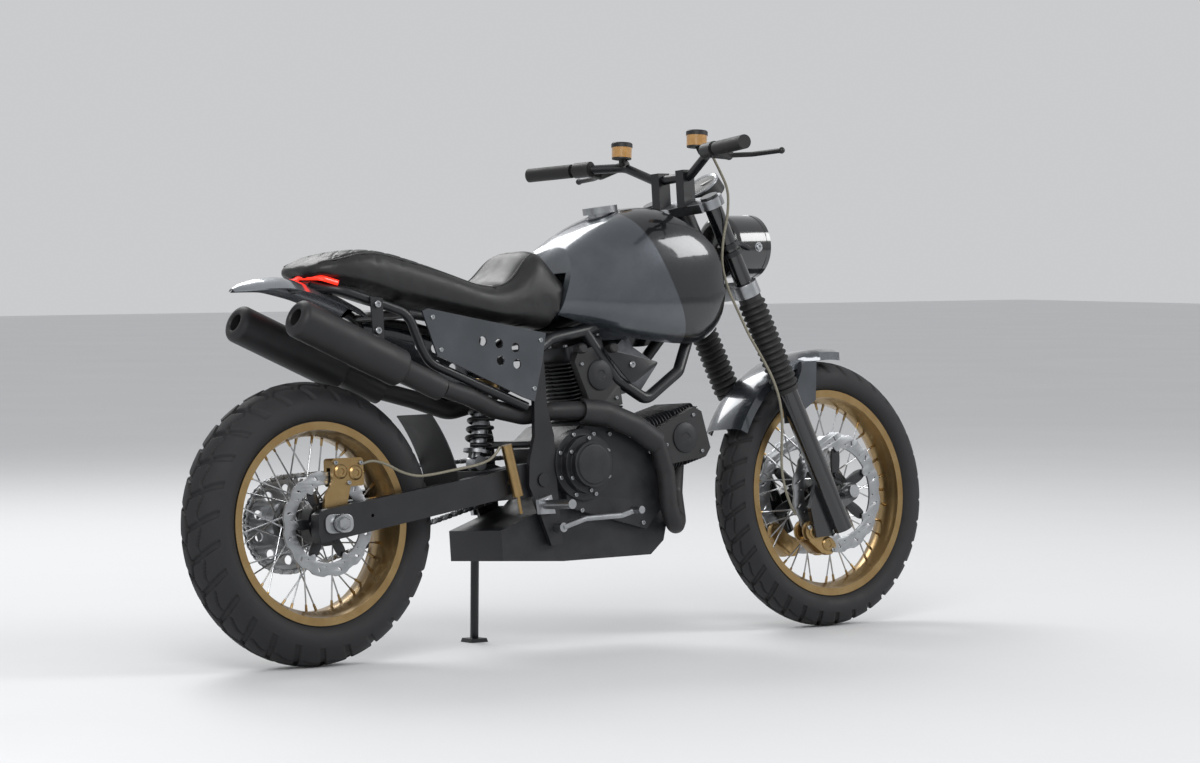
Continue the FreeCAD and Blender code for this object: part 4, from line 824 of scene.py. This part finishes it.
def makeChain():
    # links follow the two arcs and two straight runs round both sprockets
    rearX, rearZ, big = chainSizes["rear"]
    frontX, frontZ, small = chainSizes["front"]
    gap = math.hypot(frontX - rearX, frontZ - rearZ)
    tilt = math.atan2(frontZ - rearZ, frontX - rearX)
    spread = math.acos((big - small) / gap)
    turn = np.linspace(tilt - spread, tilt + spread, 60)
    back = np.linspace(tilt + spread, tilt - spread + 2 * math.pi, 160)
    line = np.r_[np.c_[frontX + small * np.cos(turn), frontZ + small * np.sin(turn)],
                 np.c_[rearX + big * np.cos(back), rearZ + big * np.sin(back)]]
    line = np.r_[line, line[:1]]
    travelled = np.r_[0, np.cumsum(np.linalg.norm(np.diff(line, axis=0), axis=1))]
    count = 2 * round(travelled[-1] / chainSizes["pitch"] / 2)
    at = np.linspace(0, travelled[-1], count + 1)
    pins = np.c_[np.interp(at, travelled, line[:, 0]), np.interp(at, travelled, line[:, 1])]
    meshes = []
    for index in range(count):
        start, end = pins[index], pins[index + 1]
        middle, half = (start + end) / 2, np.linalg.norm(end - start) / 2
        c, s = (end - start) / (2 * half)
        tall, waist = chainSizes["tall"], chainSizes["waist"]
        low = [(-half - tall, -tall), (-half + tall, -tall), (0, -waist), (half - tall, -tall),
               (half + tall, -tall)]
        loop = rounded(low + [(x, -z) for x, z in low[::-1]], 0.005, 3)
        away = chainSizes["away"][index % 2]

        def place(u, v, w):
            return chassisPoint(middle[0] + u * c - v * s, w, middle[1] + u * s + v * c)
        for side in (1, -1):
            put = shifted(place, chainSizes["y"] + side * away)
            meshes.append(flatMesh("link", [loop], 0.0016, put, 0.0002))
        rod = [(-0.0078, 0), (-0.0078, 0.0022), (-0.0045, 0.0022), (-0.0045, chainSizes["roller"]),
               (0.0045, chainSizes["roller"]), (0.0045, 0.0022), (0.0078, 0.0022), (0.0078, 0)]
        meshes.append(turnedMesh("roller", rod, chassisPoint(start[0], chainSizes["y"], start[1]), across, 10))
    addJoined("linkedChain", meshes, "chain", "steel", "chassis")


# hand controls: fluid pots, their lids and the gauge's rim and marks
controlSizes = {
    "potLow": (1.057, 0.138, 0.85),
    "potHigh": (1.061, 0.138, 0.89),
    "pot": [(0.003, 0.02), (0.003, 0.0245), (0.029, 0.0252), (0.029, 0.02)],
    "lid": [(0.0285, 0), (0.0285, 0.0262), (0.0375, 0.0262), (0.0395, 0.0245), (0.0404, 0.02), (0.0404, 0)],
    "gauge": (1.19, 0, 0.774),
    "gaugeFacing": (0.57, 0, 1.554),
    "rim": [(-0.002, 0.038), (-0.002, 0.0466), (0.002, 0.0466), (0.003, 0.044), (0.0005, 0.038)],
    "ticks": 28,
    "tickRing": 0.033,
    "needle": [(-0.008, -0.001), (0.004, -0.0012), (-0.02, 0.022), (-0.021, 0.0215)],
}


def makeControls():
    size = controlSizes
    amber, lids = [], []
    for side in (1, -1):
        base, top = (forkFromChassis(x, side * y, z) for x, y, z in (size["potLow"], size["potHigh"]))
        amber.append(turnedMesh("pot", size["pot"], base, top - base, 40))
        lids.append(turnedMesh("lid", size["lid"], base, top - base, 40))
    addJoined("fluidPots", amber, None, "lamp", "steering", "amber")
    addJoined("potLids", lids, None, "black_plastic", "steering")
    centre = forkFromChassis(*size["gauge"])
    axis, first, second = frameOf(forkFromChassis(*size["gaugeFacing"]) - centre)
    addJoined("gaugeBezel", [turnedMesh("bezel", size["rim"], centre, axis, 64)], None, "alloy", "steering")

    def onFace(x, y, z):
        return (centre + np.multiply.outer(x, second) + np.multiply.outer(y, first)
                + np.multiply.outer(z, axis))
    ticks = []
    for index in range(size["ticks"]):
        c, s = polar(1, math.radians(-225 + index * 10))

        def onTick(x, y, z):
            out = size["tickRing"] + x
            return onFace(out * c - y * s, out * s + y * c, z + 0.0006)
        long = 0.0035 if index % 3 == 0 else 0.002
        tick = np.array([(-long, -0.0004), (long, -0.0004), (long, 0.0004), (-long, 0.0004)])
        ticks.append(flatMesh("tick", [tick], 0.0006, onTick, 0.0001))
    ticks.append(flatMesh("needle", [np.array(size["needle"])], 0.0008, shifted(onFace, 0.002), 0.0001))
    addJoined("gaugeMarks", ticks, None, "alloy", "steering", "paleMarks")


# bracket plates, taps and panel screws
bracketSizes = {
    "gusset": [(0.2, 0.702), (0.372, 0.664), (0.285, 0.612)],
    "gussetY": 0.108,
    "panelScrews": [(-0.3, 0.78), (0.004, 0.722), (-0.02, 0.61), (-0.28, 0.705)],
    "tailScrews": [(-0.441, 0.752), (-0.44, 0.812)],
    "tapsAt": (0.13, 0.222),
    "tap": [(0, 0), (0, 0.007), (0.018, 0.007), (0.018, 0.012), (0.03, 0.012), (0.034, 0.009), (0.034, 0)],
}


def makeBrackets():
    size = bracketSizes
    plates, bolts = [], []
    for side in (1, -1):
        loop = rounded(size["gusset"], 0.016)
        plates.append(flatMesh("gusset", [loop], 0.004, shifted(onSide, size["gussetY"], side)))
        bolts.append(hexBolt(onSide(0.286, 0.66, side * 0.11), side * across, 0.008, 0.006))
        for x, z in size["panelScrews"]:
            bolts.append(hexBolt(onSide(x, z, side * 0.1316), side * across, 0.0055, 0.003))
        for x, z in size["tailScrews"]:
            bolts.append(hexBolt(onSide(x, z, side * 0.1154), side * across, 0.0085, 0.006))
    taps = [turnedMesh("tap", size["tap"], onSide(x, 0.7, -0.098), -across, 24) for x in size["tapsAt"]]
    addJoined("gussets", plates, None, "black_paint", "chassis")
    addJoined("panelScrews", bolts, None, "alloy", "chassis")
    addJoined("fuelTaps", taps, None, "black_plastic", "chassis")


# seat: filled leather cover with piping and quilted channels
seatSizes = {"voxel": 0.005, "pressure": 4.0, "frames": 20, "cap": 0.004, "pitch": 0.048, "groove": 0.0022,
             "line": 0.0045, "quiltFrom": 0.03, "quiltTo": 0.47, "quiltHalf": 0.085, "piping": 0.0024,
             "pipingFrom": 0.01, "pipingTo": 0.66, "pipingHalf": 0.094, "humpFrom": 0.5, "taperFrom": 0.06}


def applied(piece):
    # the piece's mesh with its modifiers worked in
    graph = bpy.context.evaluated_depsgraph_get()
    mesh = bpy.data.meshes.new_from_object(piece.evaluated_get(graph))
    piece.modifiers.clear()
    old = piece.data
    piece.data = mesh
    bpy.data.meshes.remove(old)
    return mesh


def vectorsOf(mesh, field="co"):
    values = np.empty(3 * len(mesh.vertices))
    if field == "co":
        mesh.vertices.foreach_get("co", values)
    else:
        mesh.vertex_normals.foreach_get("vector", values)
    return values.reshape(-1, 3)


def makeSeat():
    size = seatSizes
    mesh = frame["nodes"]["seat"].data.copy()
    work = bmesh.new()
    work.from_mesh(mesh)
    bmesh.ops.remove_doubles(work, verts=work.verts, dist=softEdges["weld"])
    work.to_mesh(mesh)
    work.free()
    mesh.materials.clear()
    piece = addPiece("leatherSeat", mesh, "seat", "leather", "chassis")
    remesh = piece.modifiers.new("voxels", "REMESH")
    remesh.mode = "VOXEL"
    remesh.voxel_size = size["voxel"]
    mesh = applied(piece)
    rest = vectorsOf(mesh)
    cloth = piece.modifiers.new("filling", "CLOTH")
    cloth.settings.use_pressure = True
    cloth.settings.uniform_pressure_force = size["pressure"]
    cloth.settings.effector_weights.gravity = 0.0
    cloth.point_cache.frame_start = 1
    cloth.point_cache.frame_end = size["frames"]
    for step in range(1, size["frames"] + 1):
        bpy.context.scene.frame_set(step)
        bpy.context.evaluated_depsgraph_get()
    mesh = applied(piece)
    bpy.context.scene.frame_set(1)
    moved = vectorsOf(mesh) - rest
    length = np.linalg.norm(moved, axis=1)[:, None]
    capped = rest + moved * np.minimum(1, size["cap"] / np.maximum(length, 1e-9))
    mesh.vertices.foreach_set("co", capped.ravel())
    mesh.update()
    divide = piece.modifiers.new("smooth", "SUBSURF")
    divide.levels = divide.render_levels = 1
    mesh = applied(piece)
    co, normal = vectorsOf(mesh), vectorsOf(mesh, "normal")
    local = co - rearAxle
    x, y, z = local @ ahead, local @ across, local @ above
    top = np.clip((normal @ above - 0.55) / 0.2, 0, 1)
    within = np.clip((x - size["quiltFrom"]) / 0.02, 0, 1) * np.clip((size["quiltTo"] - x) / 0.02, 0, 1)
    within = within * np.clip((size["quiltHalf"] - np.abs(y)) / 0.008, 0, 1) * top
    depth = np.zeros(len(x))
    for lay in (1, -1):
        phase = np.abs(np.mod((x + lay * y) / size["pitch"], 1) - 0.5) * size["pitch"]
        depth = np.maximum(depth, np.exp(-(phase / size["line"]) ** 2))
    edge = np.exp(-((np.abs(y) - size["quiltHalf"] - 0.004) / size["line"]) ** 2)
    edge = edge * top * (x > 0) * (x < size["humpFrom"])
    frontSeam = np.exp(-((x - size["quiltTo"] - 0.008) / size["line"]) ** 2) * top * (np.abs(y) < 0.11)
    move = size["groove"] * np.maximum(np.maximum(depth * within, edge), frontSeam)
    co -= normal * move[:, None]
    mesh.vertices.foreach_set("co", co.ravel())
    mesh.polygons.foreach_set("use_smooth", [True] * len(mesh.polygons))
    mesh.materials.clear()
    mesh.materials.append(looks["leather"])
    mesh.update()
    tree = BVHTree.FromPolygons([Vector(p) for p in co], [tuple(p.vertices) for p in mesh.polygons])
    lines = []
    for side in (1, -1):
        route = []
        for step in np.linspace(size["pipingFrom"], size["pipingTo"], 40):
            toTail = max(0, (size["taperFrom"] - step) / size["taperFrom"])
            toTank = max(0, (step - size["humpFrom"]) / (size["pipingTo"] - size["humpFrom"]))
            half = size["pipingHalf"] - 0.03 * (toTail + toTank)
            origin = Vector(chassisPoint(step, side * half, 0.8))
            hit = tree.ray_cast(origin, Vector(-above))[0]
            if hit is not None:
                route.append(np.array(hit))
        lines.append(tubeMesh("piping", route, size["piping"], 8))
    addJoined("seatPiping", lines, None, "leather", "chassis")


print("hubs, chain and engine")
makeHub("rear_hub", onRearWheel, "rear_wheel", across)
makeHub("front_hub", onFrontWheel, "front_wheel", forkAcross)
makeChain()
makeCylinders()
makeScrews()
makeCalipers()
print("controls and brackets")
makeControls()
makeBrackets()
print("seat")
makeSeat()


# shock absorber, tail and lamp strip
shockSizes = {"low": (-0.1, 0.4455), "high": (-0.062, 0.64), "coils": 7, "coil": 0.031, "wire": 0.0052,
              "body": 0.019}


def makeShock():
    # damper body and collars with a coil spring wound round them
    size = shockSizes
    low, high = onSide(*size["low"], 0), onSide(*size["high"], 0)
    span = np.linalg.norm(high - low)
    axis, first, second = frameOf(high - low)
    shaft = [(-0.004, 0), (-0.004, 0.012), (0.02, 0.012), (0.02, 0.033), (0.028, 0.033), (0.028, size["body"]),
             (span - 0.03, size["body"]), (span - 0.03, 0.012), (span + 0.022, 0.012), (span + 0.022, 0)]
    eyes = [turnedMesh("damper", shaft, low, axis, 40)]
    highEye = high + 0.005 * ahead + 0.02 * above
    for at, half, r in ((low - 0.004 * above, 0.018, 0.017), (highEye, 0.016, 0.015)):
        eyes.append(turnedMesh("eye", [(-half, 0), (-half, r), (half, r), (half, 0)], at, across, 32))
    addJoined("shockDamper", eyes, "rear_suspension", "black_paint", "chassis", "alloy")
    turn = np.linspace(0, 2 * np.pi * size["coils"], size["coils"] * 8)
    rise = np.linspace(0.035, span - 0.018, len(turn))
    wound = np.outer(np.cos(turn), first) + np.outer(np.sin(turn), second)
    route = low + np.outer(rise, axis) + size["coil"] * wound
    addPiece("shockSpring", tubeMesh("shockSpring", route, size["wire"], 10), None, "black_paint", "chassis")
    collar = [(span - 0.022, 0.012), (span - 0.022, 0.034), (span - 0.01, 0.034), (span - 0.006, 0.03),
              (span - 0.006, 0.012)]
    addPiece("shockCollar", turnedMesh("collar", collar, low, axis, 40), None, "gold", "chassis")


tailSizes = {"x": (-0.178, -0.16, -0.12, -0.06, 0.015, 0.075, 0.145),
             "top": (0.857, 0.867, 0.878, 0.883, 0.866, 0.845, 0.812),
             "half": (0.012, 0.036, 0.058, 0.069, 0.07, 0.07, 0.06), "crown": 0.03, "thick": 0.003}


def makeTail():
    # a thin crowned sheet that narrows to a rounded tip; its height falls as the square of the way out
    size = tailSizes
    t = np.linspace(0, 1, 60)
    where = np.linspace(0, 1, len(size["x"]))
    x, top, half = (np.interp(t, where, size[key]) for key in ("x", "top", "half"))
    for _ in range(6):
        for line in (x, top, half):
            line[1:-1] = (line[:-2] + 2 * line[1:-1] + line[2:]) / 4
    v = np.linspace(-1, 1, 25)
    side = np.outer(half, v)
    drop = size["crown"] * np.outer(half / half.max(), v ** 2)
    along, height = np.repeat(x[:, None], 25, 1), top[:, None] - drop - axleHeight
    upper = chassisPoint(along, side, height)
    lower = chassisPoint(along, side * 0.96, height - size["thick"])
    points = np.concatenate([upper, lower[:, ::-1]], axis=1)
    points = np.concatenate([points[:1] * 0 + points[:1].mean(axis=1, keepdims=True), points,
                             points[-1:] * 0 + points[-1:].mean(axis=1, keepdims=True)])
    sheet = tidyMesh(gridMesh("tailSheet", points, False, True), 40)
    # the sheet takes the rear fender's silver material, whose light colour is a painted highlight
    addPiece("tailSheet", sheet, "rear_fender", "grey_paint", "chassis")


def twoTone(material):
    # forward of a slanting line the tank is darker: a dot product of the place with the line's direction
    tree = material.node_tree
    shader = tree.nodes["Principled BSDF"]
    source = shader.inputs["Base Color"].links[0].from_socket
    lineWay = ahead + 0.48 * above
    place = addNode(tree, "ShaderNodeTexCoord")
    dot = addNode(tree, "ShaderNodeVectorMath", {"operation": "DOT_PRODUCT"}, {0: place.outputs["Object"]})
    dot.inputs[1].default_value = tuple(lineWay)
    start = float(np.dot(lineWay, chassisPoint(0.87, 0.0, 1.03 - axleHeight)))
    step = addNode(tree, "ShaderNodeMapRange", {"From Min": start - 0.0004, "From Max": start + 0.0004},
                   {"Value": dot.outputs["Value"]})
    mix = addNode(tree, "ShaderNodeMix", {"data_type": "RGBA"}, {"Factor": step.outputs[0]})
    mix.inputs[7].default_value = linear("#14161a")
    tree.links.new(source, mix.inputs[6])
    tree.links.new(mix.outputs[2], shader.inputs["Base Color"])


print("shock and tail")
makeShock()
makeTail()
twoTone(looks["tankPaint"])
looks["lamp"].node_tree.nodes["Principled BSDF"].inputs["Emission Color"].default_value = linear("#ff2a18")
looks["lamp"].node_tree.nodes["Principled BSDF"].inputs["Emission Strength"].default_value = 2.5

for node in frame["nodes"]:
    if node in replaced:
        continue
    skin = skinOf(node)
    if node in softEdges["beveled"]:
        bevel = skin.modifiers.new("softEdge", "BEVEL")
        bevel.width = softEdges["bevel"]
        bevel.segments = 2
        bevel.limit_method = "ANGLE"
        bevel.angle_limit = math.radians(40)
print("pieces", len(frame["nodes"]))

# stage: camera, floor and lights
stageSizes = {
    "cameraAt": (-5.7588, -7.6370, 1.0049),
    "cameraTo": (0.0504, -0.0749, 0.6247),
    "lens": 120.46,
    "floorHalf": 30.0,
    "floor": "#d9dadb",
    "worldStrength": 0.75,
    "lamps": [((-4.5, -5.0, 5.0), 3.5, 260.0), ((5.0, -4.0, 4.0), 2.5, 170.0), ((0.5, 4.5, 4.5), 3.0, 160.0)],
}


def makeStage():
    camera = bpy.data.objects.new("camera", bpy.data.cameras.new("camera"))
    camera.location = stageSizes["cameraAt"]
    aim = Vector(stageSizes["cameraTo"]) - camera.location
    camera.rotation_euler = aim.to_track_quat("-Z", "Y").to_euler()
    camera.data.lens = stageSizes["lens"]
    camera.data.sensor_width = 36.0
    camera.data.clip_end = 100.0
    bpy.context.scene.collection.objects.link(camera)
    bpy.context.scene.camera = camera
    half = stageSizes["floorHalf"]
    mesh = bpy.data.meshes.new("floor")
    corners = [(-half, -half, 0), (half, -half, 0), (half, half, 0), (-half, half, 0)]
    mesh.from_pydata(corners, [], [(0, 1, 2, 3)])
    floor = bpy.data.objects.new("floor", mesh)
    bpy.context.scene.collection.objects.link(floor)
    mesh.materials.append(finish("paintedFloor", stageSizes["floor"], "#d8d9da", 0.0, 0.6, 900, 0.02, 3.0))
    world = bpy.data.worlds.new("softStudio")
    world.use_nodes = True
    backdrop = world.node_tree.nodes["Background"]
    backdrop.inputs["Color"].default_value = linear("#e6e7e9")
    backdrop.inputs["Strength"].default_value = stageSizes["worldStrength"]
    bpy.context.scene.world = world
    for index, (spot, size, power) in enumerate(stageSizes["lamps"]):
        lamp = bpy.data.objects.new("lamp%d" % index, bpy.data.lights.new("lamp%d" % index, "AREA"))
        lamp.data.size = size
        lamp.data.energy = power
        lamp.location = spot
        lamp.rotation_euler = (Vector((0.0, 0.0, 0.5)) - lamp.location).to_track_quat("-Z", "Y").to_euler()
        bpy.context.scene.collection.objects.link(lamp)
    bpy.context.scene.view_settings.view_transform = "Standard"


makeStage()
